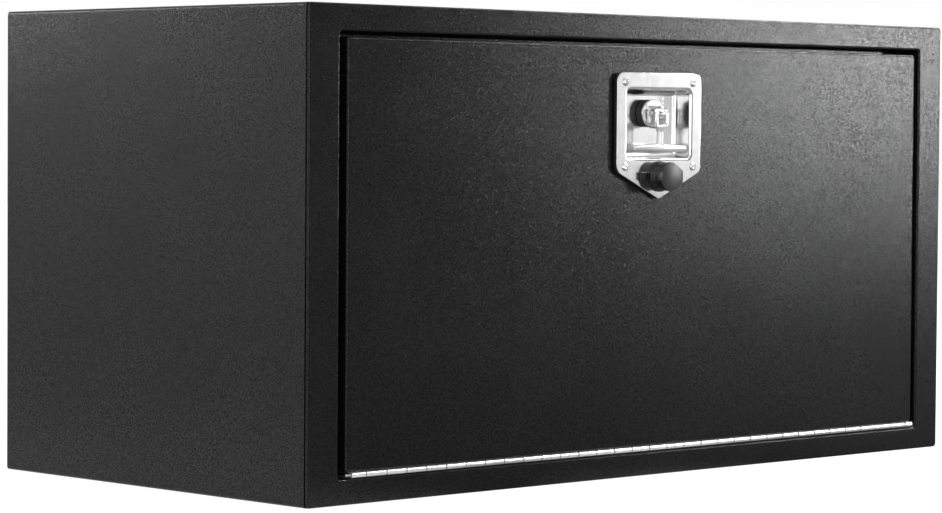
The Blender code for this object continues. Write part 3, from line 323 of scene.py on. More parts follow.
def slab(name, front, back, body, finish, wrapU=False, wrapV=False, present=None, folded=False, **more):
    # Two grids joined into a sheet: both faces wherever a cell is present, and a wall along each edge
    # between a cell that is present and one that isn't. A folded sheet's first row closes on itself.
    rows, cols = front.shape[:2]
    count = rows * cols
    shape = (rows - (not wrapU), cols - (not wrapV))
    present = np.ones(shape, bool) if present is None else present
    faces = quadFaces(rows, cols, wrapU, wrapV)[present.ravel()]
    padU = present if wrapU else np.pad(present, ((1, 1), (0, 0)))
    padV = present if wrapV else np.pad(present, ((0, 0), (1, 1)))
    acrossU = (padU != np.roll(padU, 1, 0)) if wrapU else (padU[1:] != padU[:-1])
    acrossV = (padV != np.roll(padV, 1, 1)) if wrapV else (padV[:, 1:] != padV[:, :-1])
    if folded:
        acrossU[0] = False
    i, j = np.nonzero(acrossU)
    wallsU = np.stack([i * cols + j, i * cols + (j + 1) % cols], -1)
    i, j = np.nonzero(acrossV)
    wallsV = np.stack([i * cols + j, (i + 1) % rows * cols + j], -1)
    edges = np.concatenate([wallsU, wallsV])
    walls = np.concatenate([edges, edges[:, ::-1] + count], 1)
    faces = np.concatenate([faces, faces[:, ::-1] + count, walls]).tolist()
    return addPiece(name, np.stack([front, back]), faces, body, finish, **more)


def turnedGrid(profile, centre, axis="y", steps=48):
    # A profile of (radius, along) turned about an axis: centre + r cos a and r sin a across it.
    r, along = profile[:, None, 0], profile[:, None, 1]
    a = np.linspace(0, 2 * math.pi, steps, endpoint=False)[None, :]
    across, up, along = r * np.cos(a), r * np.sin(a), along + 0 * a
    x, y, z = {"y": (across, -along, up), "x": (along, -across, up), "z": (across, up, along)}[axis]
    return np.stack([x + centre[0], y + centre[1], z + centre[2]], -1)


def turned(name, corners, radii, centre, body, finish, axis="y", steps=48, bends=5, lead=0.0001, ring=False,
           **more):
    # A turned piece from its profile's corners. A ring's profile is closed, otherwise both ends are on the
    # axis.
    profile = bentPath(corners, radii, bends, lead, closed=ring)[0]
    return shell(name, turnedGrid(profile, centre, axis, steps), body, finish, wrapU=ring, **more)


def rayLoop(outline, centre, angles):
    # Where rays from the centre at these angles meet a closed convex outline: centre + t d, with t from
    # the cross products of each ray and the outline's edge that it meets.
    p = outline - centre
    order = np.argsort(np.arctan2(p[:, 1], p[:, 0]))
    p = p[order]
    own = np.arctan2(p[:, 1], p[:, 0])
    k = np.searchsorted(own, angles, side="right") % len(p)
    a, b = p[k - 1], p[k]
    d = np.stack([np.cos(angles), np.sin(angles)], 1)
    edge = b - a
    t = (a[:, 0] * edge[:, 1] - a[:, 1] * edge[:, 0]) / (d[:, 0] * edge[:, 1] - d[:, 1] * edge[:, 0])
    return centre + d * t[:, None]


def box(node):
    low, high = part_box(node)
    return np.array(low), np.array(high)


# The steel box

sheet = {"thickness": 0.0019, "bend": 0.0025, "bodyBend": 0.003, "crevice": 0.0019,
         "steps": 8, "lead": 0.0002}


def makeFrontFrame():
    # The face reaches out over the body's edges with a short rolled lip. A lap behind it goes into the body.
    size = {"lap": 0.018, "flat": 0.006, "jamb": 0.0265, "stop": 0.022, "corner": 0.003, "side": 0.0381,
            "top": 0.0254, "bottom": 0.024, "rim": 0.0018, "lip": 0.0024, "outerCorner": 0.004}
    low, high = box("front_frame")
    face = -low[1]
    bodyLow, bodyHigh = box("body_wrap")
    half = box("right_end_panel")[1][0]
    rim = bentPath([(0, face - size["lip"]), (0, face), (size["flat"], face)],
                   size["rim"], sheet["steps"], sheet["lead"])
    mouth = bentPath([(-size["flat"], face), (0, face), (0, face - size["jamb"]),
                      (size["stop"], face - size["jamb"])], sheet["bend"], sheet["steps"], sheet["lead"])
    faces = []
    for depth in (0, sheet["thickness"]):
        edge = rim[0] - depth * rim[1]
        door = mouth[0] - depth * mouth[1]
        outer = rectLoops(-half, half, bodyLow[2], bodyHigh[2], size["outerCorner"], edge[:, 0])
        inner = rectLoops(-half + size["side"], half - size["side"], size["bottom"],
                          bodyHigh[2] - size["top"], size["corner"], door[:, 0])
        faces.append(np.concatenate([frontView(outer, edge[:, 1]), frontView(inner, door[:, 1])]))
    slab("frontFrame", faces[0], faces[1], "box", "powder_coat", wrapV=True, nodes=["front_frame"])
    outs = [face - sheet["thickness"], face - size["lap"]]
    skins = [frontView(rectLoops(low[0], high[0], low[2], high[2], size["corner"], [inset] * 2), outs)
             for inset in (0, sheet["thickness"])]
    slab("frontFrameLap", skins[0], skins[1], "box", "powder_coat", wrapV=True, nodes=["front_frame"])


def makeBodyWrap():
    low, high = box("body_wrap")
    corners = [(low[1], high[2]), (high[1], high[2]), (high[1], low[2]), (low[1], low[2])]
    path, normal = bentPath(corners, sheet["bodyBend"], sheet["steps"], sheet["lead"])
    x = np.linspace(low[0], high[0], 5)[:, None]
    grids = []
    for depth in (0, sheet["thickness"]):
        p = path - depth * normal
        grids.append(np.stack([x + 0 * p[None, :, 0], p[None, :, 0] + 0 * x, p[None, :, 1] + 0 * x], -1))
    slab("bodyWrap", grids[0], grids[1], "box", "powder_coat", nodes=["body_wrap"])


def makeEndPanel(name, node, side):
    # The pan's edge follows the box's back corners as an open path, each ring of it inset and moved in
    # along X by the bend's profile, and the flat face runs from there to the middle height.
    size = {"ring": 0.012, "least": 0.0004, "lead": 0.0004}
    low, high = box(node)
    low[1] += sheet["crevice"]
    flange = high[0] - low[0]
    profile, lean = bentPath([(size["ring"], 0), (0, 0), (0, flange)], sheet["bodyBend"], sheet["steps"],
                             sheet["lead"])
    middle = (low[2] + high[2]) / 2
    reach = middle - low[2]
    grids = []
    for depth in (0, sheet["thickness"]):
        rings = profile - depth * lean
        rows = []
        for inset, inwards in rings:
            r = max(sheet["bodyBend"] - inset, size["least"])
            corners = [(low[1], low[2] + inset), (high[1] - inset, low[2] + inset),
                       (high[1] - inset, high[2] - inset), (low[1], high[2] - inset)]
            path = bentPath(corners, r, sheet["steps"], size["lead"])[0]
            rows.append(np.stack([path[:, 0] * 0 + inwards, path[:, 0], path[:, 1]], -1))
        rows = np.array(rows)
        core = rows[:1].copy()
        core[0, :, 2] = middle
        core[0, :, 1] = np.minimum(core[0, :, 1], high[1] - reach)
        grid = np.concatenate([core, rows])
        grid[..., 0] = side * (max(abs(low[0]), abs(high[0])) - grid[..., 0])
        grids.append(grid)
    slab(name, grids[0], grids[1], "box", "powder_coat", folded=True, nodes=[node])


def makeDoorSkin():
    size = {"lip": 0.014, "flat": 0.006, "corner": 0.003, "room": 0.0021}
    low, high = box("door_skin")
    face, back = -low[1], -high[1]
    dish = latchPlaces()
    path, normal = bentPath([(size["flat"], face), (0, face), (0, back), (size["lip"], back)],
                            sheet["bend"], sheet["steps"], sheet["lead"])
    grids = []
    for depth in (0, sheet["thickness"]):
        p = path + depth * normal
        outer = rectLoops(low[0], high[0], low[2], high[2], size["corner"], p[:, 0])
        hole = rectLoops(*dish["recess"], dish["recessCorner"], [-size["room"]])
        grids.append(np.concatenate([frontView(hole, face - depth), frontView(outer, p[:, 1])]))
    slab("doorSkin", grids[0], grids[1], "door", "powder_coat", wrapV=True, nodes=["door_skin"])


def makeStiffener(name, node):
    size = {"sheet": 0.0015, "crown": 0.030, "flange": 0.0133, "bend": 0.0022}
    low, high = box(node)
    middle, half = (low[0] + high[0]) / 2, (high[0] - low[0]) / 2
    foot, peak = -low[1], -high[1]
    run = [(-half, foot), (-half + size["flange"], foot), (-size["crown"] / 2, peak + size["sheet"]),
           (size["crown"] / 2, peak + size["sheet"]), (half - size["flange"], foot), (half, foot)]
    path, normal = bentPath(run, size["bend"], 6, sheet["lead"])
    z = np.array([low[2], high[2]])[:, None]
    grids = []
    for depth in (0, size["sheet"]):
        p = path - depth * normal
        along, out = p[None, :, 0] + 0 * z, p[None, :, 1] + 0 * z
        grids.append(np.stack([middle + along, -out, z + 0 * along], -1))
    slab(name, grids[0], grids[1], "door", "powder_coat", nodes=[node])


def makeDoorSeal():
    # A bulb strip: a flat base with a round back, carried round the doorway's stop.
    size = {"corner": 0.004, "base": 0.0012, "width": 0.010}
    low, high = box("door_seal")
    foot, crest = -high[1], -low[1]
    half, rise = size["width"] / 2, crest - foot - size["base"]
    a = np.linspace(0, math.pi, 17)
    bulb = np.stack([half - half * np.cos(a), foot + size["base"] + rise * np.sin(a)], 1)
    profile = np.concatenate([[(0, foot)], bulb, [(size["width"], foot)]])
    loops = rectLoops(low[0], high[0], low[2], high[2], size["corner"], profile[:, 0])
    shell("doorSeal", frontView(loops, profile[:, 1]), "box", "rubber", wrapU=True, nodes=["door_seal"])


# The piano hinge

hinge = {"pitch": 0.0127, "sheet": 0.0011, "leaf": 0.018, "gap": 0.0006, "relief": 0.0004, "round": 0.0006,
         "curl": 290, "steps": 30, "slip": 0.00028, "bare": 0.0075}


def makeHingeLeaf(name, node, body, side, parity):
    # Profile stations run along the leaf from its rear edge, then round the pin; each knuckle is a block of
    # four stations along X, its outer radius smaller at both ends. Cells between knuckles keep the flat only.
    low, high = box("hinge_pin")
    axisOut, axisZ = -(low[1] + high[1]) / 2, (low[2] + high[2]) / 2
    radius = (box(node)[1][2] - box(node)[0][2]) / 2
    count = int(round((high[0] - low[0]) / hinge["pitch"]))
    knuckles = np.arange(parity, count, 2)
    slip = -hinge["slip"] * side
    x0 = low[0] + knuckles * hinge["pitch"] + hinge["gap"] / 2 + slip
    x1 = x0 + hinge["pitch"] - hinge["gap"]
    x0[0], x1[-1] = max(x0[0], low[0] + hinge["bare"]), min(x1[-1], high[0] - hinge["gap"])
    b = hinge["round"]
    stations = np.stack([x0, x0 + b, x1 - b, x1], 1).ravel()
    shrink = np.tile([b, 0, 0, b], len(knuckles))
    keep = np.tile([True, True, True, False], len(knuckles))[:-1]
    if parity:
        stations = np.concatenate([[low[0] + hinge["bare"]], stations, [high[0] - hinge["gap"]]])
        shrink = np.concatenate([[0], shrink, [0]])
        keep = np.concatenate([[False], keep, [False]])
    reach = radius + hinge["relief"]
    angle = np.radians(270 - np.linspace(0, hinge["curl"], hinge["steps"] + 1))
    flat = np.array([hinge["leaf"], reach + 0.0004, reach])
    inner = radius - hinge["sheet"]
    outerR = (radius - shrink)[:, None]
    flatCount = len(flat)
    backOuter = np.concatenate([flat + 0 * outerR, outerR * np.cos(angle)], 1)
    upOuter = np.concatenate([-radius + 0 * flat + 0 * outerR, outerR * np.sin(angle)], 1)
    backInner = np.concatenate([flat + 0 * outerR, inner * np.cos(angle) + 0 * outerR], 1)
    upInner = np.concatenate([-inner + 0 * flat + 0 * outerR, inner * np.sin(angle) + 0 * outerR], 1)
    x = stations[:, None] + 0 * backOuter
    front = np.stack([x, backOuter - axisOut, axisZ - side * upOuter], -1)
    back = np.stack([x, backInner - axisOut, axisZ - side * upInner], -1)
    present = np.ones((len(stations) - 1, front.shape[1] - 1), bool)
    present[~keep, flatCount - 1:] = False
    slab(name, front, back, body, "stainless", present=present, nodes=[node])


def makeHingePin():
    low, high = box("hinge_pin")
    r = (high[2] - low[2]) / 2
    half = (high[0] - low[0]) / 2
    middle = (low + high) / 2
    # Dark steel: partly the pin's own tone, partly painted shade for the gaps between the knuckles.
    turned("hingePin", [(0, half), (r, half), (r, -half), (0, -half)], 0.0003, middle, "box", "pinSteel",
           axis="x", steps=24, bends=3, lead=0.00005, slot="stainless", nodes=["hinge_pin"])


def makeLeafRivets():
    # Low domed heads: r out to the rim, then back to the shank, which ends in a swaged tail.
    size = {"head": 0.0029, "crown": 0.62, "height": 0.0009, "shank": 0.0015, "tail": 0.0007, "swage": 0.0012}
    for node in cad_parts:
        if "leaf_rivet" not in node:
            continue
        low, high = box(node)
        middle = (low + high) / 2
        body = "door" if node.startswith("door") else "box"
        length = high[2] - low[2]
        side = 1 if body == "box" else -1
        top = side * length / 2
        seat, end = top - side * size["height"], -top
        corners = [(0, top), (size["head"] * size["crown"], top), (size["head"], seat), (size["shank"], seat),
                   (size["shank"], end + side * size["swage"]),
                   (size["shank"] + size["tail"], end + side * size["swage"] / 2), (0, end)]
        turned(camel(node), corners, 0.00018, middle, body, "stainless", axis="z", steps=24, bends=2,
               lead=0.00002, nodes=[node])


def camel(node):
    words = node.split("_")
    return words[0] + "".join(word.title() for word in words[1:])


# The latch plate and its dish

def latchPlaces():
    # Where the latch's parts lie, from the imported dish, seal and lock.
    size = {"inset": 0.0167, "tall": 0.0676, "wide": 0.0915, "deep": 0.020, "corner": 0.0045, "sheet": 0.0015}
    low, high = box("latch_dish")
    seal = box("hub_seal")
    lock = box("lock_housing")
    top = high[2] - size["inset"]
    return {"face": -low[1], "recess": (-size["wide"] / 2, size["wide"] / 2, top - size["tall"], top),
            "recessCorner": size["corner"], "hubZ": (seal[0][2] + seal[1][2]) / 2,
            "lockZ": (lock[0][2] + lock[1][2]) / 2, "sheet": size["sheet"], "floor": -low[1] - size["deep"]}


def shieldLoop(inset, steps=14):
    # The plate's outline: straight sides, then two slopes to a rounded tip.
    shield = {"side": 0.0975, "corner": 0.009, "tip": 0.005}
    low, high = box("latch_dish")
    half, top = high[0] - inset, high[2] - inset
    shoulder, tip = high[2] - shield["side"], low[2] + inset
    tip -= shieldTipReach(shield, low, high)
    corners = [(-half, top), (-half, shoulder), (0, tip), (half, shoulder), (half, top)]
    radii = np.array([shield["corner"], shield["corner"], shield["tip"], shield["corner"], shield["corner"]])
    return bentPath(corners, np.maximum(radii - inset, 0.0006), steps, 0.0006, closed=True)[0]


def shieldTipReach(shield, low, high):
    # The rounded tip ends this far above the point where the slopes would meet.
    half = high[0]
    drop = high[2] - shield["side"] - low[2]
    slope = math.atan2(drop, half)
    for _ in range(6):
        reach = shield["tip"] * (1 / math.cos(slope) - 1)
        slope = math.atan2(drop + reach, half)
    return reach


def makeLatchDish():
    # Rings from the hub's hole outwards: floor, floor roll, drafted wall, rolled edge, plate face, rim.
    # Each ring is its outline met by the same rays from the hub, so that the rings match point for point.
    size = {"draft": 0.002, "roll": 0.0032, "floorRoll": 0.0042, "rim": 0.0006, "hole": 0.0059,
            "nearHole": 0.0075}
    place = latchPlaces()
    face, floor, t = place["face"], place["floor"], place["sheet"]
    hub = np.array([0, place["hubZ"]])
    path, normal = bentPath([(0.013, floor), (size["draft"], floor), (0, face), (-0.006, face)],
                            [0, size["floorRoll"], size["roll"], 0], 12, 0.0003)
    rim = bentPath([(0.004, face), (0, face), (0, face - t * 0.8)], size["rim"], 5, 0.0002)[0]
    shield = [shieldLoop(inset) for inset in rim[:, 0]]
    recess = rectLoops(*place["recess"], place["recessCorner"], path[:, 0], 16, 0.0008, 0.0012)
    behind = path + t * normal
    under = rectLoops(*place["recess"], place["recessCorner"], behind[:, 0], 16, 0.0008, 0.0012)
    sources = np.concatenate([recess[0], recess[-1], shield[0], shield[-1]]) - hub
    angles = np.sort(np.arctan2(sources[:, 1], sources[:, 0]))
    angles = angles[np.concatenate([[True], np.diff(angles) > 0.002])]
    ring = np.stack([np.cos(angles), np.sin(angles)], 1)
    holeLoop = hub + size["hole"] * ring
    nearHole = hub + size["nearHole"] * ring

    def rows(loops):
        return np.array([rayLoop(loop, hub, angles) for loop in loops])
    front = [frontView(np.array([holeLoop, nearHole]), floor), frontView(rows(recess), path[:, 1]),
             frontView(rows(shield), rim[:, 1])]
    backLoops = [shieldLoop(max(inset, 0.0003)) for inset in rim[:, 0]]
    back = [frontView(np.array([holeLoop, nearHole]), floor - t), frontView(rows(under), behind[:, 1]),
            frontView(rows(backLoops), face - t)]
    slab("latchDish", np.concatenate(front), np.concatenate(back), "door", "plate", wrapV=True,
         slot="polished_stainless", nodes=["latch_dish"])


def makeLatchGasket():
    # A rubber sheet between the plate and the door: the shield outline less the recess, with soft edges.
    size = {"soft": 0.0007, "room": 0.0021}
    low, high = box("latch_gasket")
    place = latchPlaces()
    hub = np.array([0, place["hubZ"]])
    back, face = -high[1], -low[1]
    edge = bentPath([(0.006, face), (0, face), (0, back), (0.006, back)], size["soft"], 4, 0.0002)[0]
    shield = [shieldLoop(inset) for inset in edge[:, 0]]
    hole = rectLoops(*place["recess"], place["recessCorner"], [-size["room"]], 12, 0.0008)[0]
    sources = np.concatenate([hole, shield[0], shield[len(shield) // 2]]) - hub
    angles = np.unique(np.arctan2(sources[:, 1], sources[:, 0]).round(4))
    mouth = rayLoop(hole, hub, angles)
    outer = np.array([rayLoop(loop, hub, angles) for loop in shield])
    inner = [frontView(mouth[None], out) for out in (back, face)]
    grid = np.concatenate([*inner, frontView(outer, edge[:, 1])])
    shell("latchGasket", grid, "door", "rubber", wrapU=True, nodes=["latch_gasket"])


def makeLatchRivets():
    # Pop rivets: a domed head, the dark hole of its broken mandrel, a shank and an upset tail behind the
    # door.
    size = {"head": 0.004, "crown": 0.62, "hole": 0.0012, "depth": 0.0018, "shank": 0.0026, "gap": 0.0003}
    for number in range(1, 5):
        node = f"latch_rivet_{number}"
        low, high = box(node)
        middle = (low + high) / 2
        centre = (middle[0], 0, middle[2])
        seat, tail = latchPlaces()["face"] + size["gap"], -high[1]
        tip = -low[1]
        corners = [(0, tip - size["depth"]), (size["hole"], tip - size["depth"]), (size["hole"], tip),
                   (size["head"] * size["crown"], tip), (size["head"], seat + 0.0004), (size["head"], seat),
                   (size["shank"], seat), (size["shank"], tail + 0.0014),
                   (size["shank"] + 0.0006, tail + 0.0007), (0, tail)]
        radii = [0, 0.0001, 0.0003, 0.0009, 0.0002, 0.00015, 0.0001, 0.0001, 0.0004, 0]
        turned(camel(node), corners, radii, centre, "door", "rivetSteel", steps=40, bends=4, lead=0.00003,
               slot="stainless", nodes=[node])


def makeHubSeal():
    low, high = box("hub_seal")
    place = latchPlaces()
    r, back, front = (high[0] - low[0]) / 2, -high[1], -low[1]
    bore = 0.0059
    corners = [(bore, front), (r - 0.0004, front), (r, (front + back) / 2), (r - 0.0003, back), (bore, back)]
    radii = [0.0004, 0.0011, 0.012, 0.0008, 0.0003]
    turned("hubSeal", corners, radii, (0, 0, place["hubZ"]), "door", "rubber", steps=72, bends=6, ring=True,
           nodes=["hub_seal"])


# The spindle, its T-handle and the cam behind

def plate(name, loops, outs, body, finish, **more):
    # A flat piece with eased edges: matching loops of (x, z) from front to back, closed by flat faces.
    return shell(name, frontView(loops, outs), body, finish, closed="both", **more)


def easedLoops(outline, normals, ease, back, front, bends=3):
    # The outline drawn in by the ease's quarter circle at both faces: p + (e cos a - e) n at out + e sin a.
    a = np.linspace(0, math.pi / 2, bends + 1)
    inset = ease * (1 - np.cos(a))
    outs = np.concatenate([front - ease + ease * np.sin(a[::-1]), back + ease - ease * np.sin(a)])
    insets = np.concatenate([inset[::-1], inset])
    insets = np.concatenate([[insets[0] + ease / 2], insets, [insets[-1] + ease / 2]])
    outs = np.concatenate([[front], outs, [back]])
    return outline[None] + insets[:, None, None] * normals[None], outs


def makeSpindleHead():
    # A polished disc, with its upper part proud above a chord.
    size = {"step": 0.001, "chord": 0.0067, "ease": 0.0006}
    low, high = box("spindle")
    place = latchPlaces()
    r = (high[0] - low[0]) / 2
    face = headFace()
    back = face - 0.003
    centre = (0, 0, place["hubZ"])
    corners = [(0, face - size["step"]), (r, face - size["step"]), (r, back), (0, back)]
    turned("spindleHead", corners, [0, 0.0004, 0.0006, 0], centre, "spindle", "polished_stainless",
           steps=96, nodes=["spindle"])
    start = math.asin(size["chord"] / r)
    a = np.linspace(start, math.pi - start, 41)
    arc = np.stack([r * np.cos(a), r * np.sin(a)], 1)
    chord = np.linspace(arc[-1], arc[0], 12)[1:-1]
    outline = np.concatenate([arc, chord])
    inwards = np.concatenate([-unit(arc), np.tile([0, 1.0], (len(chord), 1))])
    inwards[[0, 40]] = unit(np.array([[-1, 0.6], [1, 0.6]]))
    loops, outs = easedLoops(outline, inwards, size["ease"], face - size["step"] - 0.0006, face)
    plate("spindleHeadRise", loops + np.array([0, place["hubZ"]]), outs, "spindle", "polished_stainless",
          nodes=["spindle"])


def headFace():
    return box("hub_seal")[0][1] * -1 + 0.0003 + 0.003


def makeTongue():
    # A rounded nose between the yoke's arms: its outline in the side view, eased towards both sides.
    size = {"half": 0.0052, "radius": 0.0062, "ease": 0.0014}
    place = latchPlaces()
    pin = box("yoke_pin")
    pinOut = -(pin[0][1] + pin[1][1]) / 2
    root = headFace() - 0.002 - pinOut
    a = np.linspace(-math.pi / 2, math.pi / 2, 33)
    nose = np.stack([size["radius"] * np.cos(a), size["radius"] * np.sin(a)], 1)
    foot = np.linspace([root, size["radius"]], [root, -size["radius"]], 9)
    outline = np.concatenate([nose, foot])
    inwards = np.concatenate([-unit(nose), np.tile([0.0, 0.0], (len(foot), 1))])
    inwards[33:, 1] = np.linspace(-1, 1, 9)
    loops, sides = easedLoops(outline, inwards, size["ease"], -size["half"], size["half"], 5)
    across = np.broadcast_to(sides[:, None], loops.shape[:2])
    grid = np.stack([across, -(pinOut + loops[..., 0]), place["hubZ"] + loops[..., 1]], -1)
    shell("spindleTongue", grid, "spindle", "polished_stainless", closed="both", nodes=["spindle"])


def makeShaft():
    # The shaft behind the head: round, then square, then a thread whose radius rises and falls as a triangle
    # wave of the distance along it less the share of the turn.
    size = {"radius": 0.0055, "square": 0.0039, "thread": 0.0038, "pitch": 0.00125, "depth": 0.0004}
    high = box("spindle")[1]
    place = latchPlaces()
    disc, cam = box("lock_disc"), box("latch_cam")
    face, end = headFace() - 0.002, -high[1]
    squareFront, squareBack = -disc[0][1] + 0.0003, -cam[1][1]
    a = np.linspace(0, 2 * math.pi, 96, endpoint=False)[None, :]
    square = size["square"] / np.maximum(np.abs(np.cos(a)), np.abs(np.sin(a)))
    square = np.minimum(square, size["square"] * 1.32)
    stops = [(face, 0), (face, 1), (squareFront, 1), (squareFront, 2), (squareBack, 2)]
    rows, outs = [], []
    for out, kind in stops:
        rows.append({0: 0 * a, 1: size["radius"] + 0 * a, 2: square}[kind])
        outs.append(out)
    along = np.linspace(squareBack, end + 0.0004, 70)
    wave = np.abs(((along[:, None] / size["pitch"] - a / (2 * math.pi)) % 1) * 2 - 1)
    thread = size["thread"] - size["depth"] * wave
    radius = np.concatenate([np.concatenate(rows), thread, thread[-1:] * 0.8, 0 * a])
    outs = np.concatenate([outs, along, [end, end]])[:, None] + 0 * a
    grid = np.stack([radius * np.cos(a), -outs, place["hubZ"] + radius * np.sin(a)], -1)
    shell("spindleShaft", grid, "spindle", "zinc_plate", slot="polished_stainless", nodes=["spindle"])


def roundedSection(halfAcross, halfOver, corner, count=24):
    # A rounded rectangle: sign(cos a) (half - corner) + corner cos a across, and the same in sin a over.
    a = np.linspace(0, 2 * math.pi, count, endpoint=False) + math.pi / count
    across = np.sign(np.cos(a)) * (halfAcross - corner) + corner * np.cos(a)
    over = np.sign(np.sin(a)) * (halfOver - corner) + corner * np.sin(a)
    return across, over, a


def makeYoke():
    # A strap with a rounded section follows a U. Its depth falls to nothing at both ends as a circle does:
    # half depth = sqrt(2 R s - s s) at the distance s from an end.
    size = {"half": 0.0095, "strap": 0.0038, "top": 0.0054, "web": 0.0132, "bend": 0.0040, "back": 0.0054,
            "front": 0.0066, "edge": 0.0009, "hole": 0.0037}
    place = latchPlaces()
    pin = box("yoke_pin")
    pinOut = -(pin[0][1] + pin[1][1]) / 2
    line = size["half"] - size["strap"] / 2
    corners = [(-line, size["top"]), (-line, -size["web"]), (line, -size["web"]), (line, size["top"])]
    path, normal = bentPath(corners, size["bend"], 10, 0.0002)
    ends = size["top"] - 0.0058 * (1 - np.cos(np.linspace(0, math.pi / 2, 12)))[1:]
    left = np.stack([np.full(11, -line), ends], 1)
    path = np.concatenate([path[:1], left, path[1:-1], left[::-1] * np.array([-1, 1]), path[-1:]])
    normal = np.concatenate([np.tile(normal[:1], (12, 1)), normal[1:-1], np.tile(normal[-1:], (12, 1))])
    deep = (size["back"] + size["front"]) / 2
    s = np.clip(size["top"] - path[:, 1], 0, deep * 0.96)
    depth = np.sqrt(np.maximum(2 * deep * 0.96 * s - s * s, 0)) / (deep * 0.96) * deep
    corner = np.minimum(size["edge"], depth)[:, None]
    across, over, _ = roundedSection(size["strap"] / 2, depth[:, None], corner)
    x = path[:, :1] + across * normal[:, :1]
    z = path[:, 1:] + across * normal[:, 1:]
    out = pinOut + (size["front"] - size["back"]) / 2 + over
    grid = np.stack([x, -out, place["hubZ"] + z], -1)
    yoke = shell("handleYoke", grid, "handle", "polished_stainless", nodes=["t_handle"])
    drill(yoke, (0, -pinOut, place["hubZ"]), size["hole"], 0.03)


def drill(piece, centre, radius, length):
    # A round hole along X through the piece, cut and applied.
    profile = np.array([(0, length / 2), (radius, length / 2), (radius, -length / 2), (0, -length / 2)])
    grid = turnedGrid(profile, centre, "x", 32)
    mesh = cleanMesh("drill", grid, quadFaces(4, 32, False, True).tolist())
    cutter = bpy.data.objects.new("drill", mesh)
    bpy.context.scene.collection.objects.link(cutter)
    cut = piece.modifiers.new("hole", "BOOLEAN")
    cut.operation, cut.object = "DIFFERENCE", cutter
    bpy.context.view_layer.update()
    graph = bpy.context.evaluated_depsgraph_get()
    done = bpy.data.meshes.new_from_object(piece.evaluated_get(graph))
    piece.modifiers.clear()
    piece.data = done
    smoothen(done)
    bpy.data.objects.remove(cutter, do_unlink=True)


def makeHandleBar():
    # The cigar bar: radius = end + swell cos(s pi / 2), s from -1 to 1 along it, with round ends; and its
    # shank.
    size = {"half": 0.0385, "radius": 0.00475, "end": 0.0027, "drop": 0.0345, "forward": 0.0035,
            "shank": 0.0036}
    place = latchPlaces()
    pin = box("yoke_pin")
    out = -(pin[0][1] + pin[1][1]) / 2 + size["forward"]
    z = place["hubZ"] - size["drop"]
    straight = size["half"] - size["end"]
    s = np.linspace(-1, 1, 41)
    swell = (size["radius"] - size["end"]) * np.cos(s * math.pi / 2)
    middle = np.stack([size["end"] + swell, -straight * s], 1)
    a = np.linspace(math.pi / 2, 0, 9)[:-1]
    tip = np.stack([size["end"] * np.cos(a), straight + size["end"] * np.sin(a)], 1)
    profile = np.concatenate([tip, middle, tip[::-1] * np.array([1, -1])])
    shell("handleBar", turnedGrid(profile, (0, -out, z), "x", 48), "handle", "castStainless",
          slot="polished_stainless", nodes=["t_handle"])
    top = place["hubZ"] - 0.0140
    shank = [(0, top), (size["shank"] + 0.0012, top), (size["shank"], top - 0.004),
             (size["shank"], z + 0.0055), (size["shank"] + 0.0008, z + 0.002), (0, z + 0.002)]
    radii = [0, 0.0002, 0.003, 0.003, 0.0002, 0]
    turned("handleShank", shank, radii, (0, -out, 0), "handle", "castStainless", axis="z", bends=4,
           slot="polished_stainless", nodes=["t_handle"])


def makeYokePin():
    size = {"dimple": 0.0017, "depth": 0.003, "ease": 0.0005}
    low, high = box("yoke_pin")
    middle, half = (low + high) / 2, (high[0] - low[0]) / 2
    r = (high[2] - low[2]) / 2
    floor = half - size["depth"]
    near = [(0, floor), (size["dimple"], floor), (size["dimple"], half), (r, half)]
    corners = near + [(radius, -along) for radius, along in reversed(near)]
    radii = [0, 0.0002, 0.0003, size["ease"], size["ease"], 0.0003, 0.0002, 0]
    turned("yokePin", corners, radii, middle, "handle", "polished_stainless", axis="x", bends=4, lead=0.00004,
           slot="stainless", nodes=["yoke_pin"])


# The key lock's dust cap

cap = {"radius": 0.0140, "lid": 0.0145, "rim": 0.0152, "rimHeight": 0.0025, "wall": 0.0017, "height": 0.016,
       "lidSheet": 0.0025, "tabReach": 0.019, "tabHalf": 0.0057, "strap": 0.008, "strapSheet": 0.0022,
       "gap": 0.0003}


def makeCapCup():
    place = latchPlaces()
    base = place["face"] + cap["gap"]
    front = base + cap["height"]
    inside = cap["radius"] - cap["wall"]
    rim, under = base + cap["rimHeight"], front - cap["lidSheet"]
    corners = [(0, front - 0.001), (cap["radius"], front - 0.001), (cap["radius"], rim), (cap["rim"], rim),
               (cap["rim"], base), (inside, base), (inside, under), (0, under)]
    radii = [0, 0.0004, 0.0008, 0.0006, 0.0005, 0.0005, 0.0008, 0]
    turned("dustCapCup", corners, radii, (0, 0, place["lockZ"]), "dust_cap", "capRubber", steps=72,
           slot="rubber", nodes=["dust_cap"])


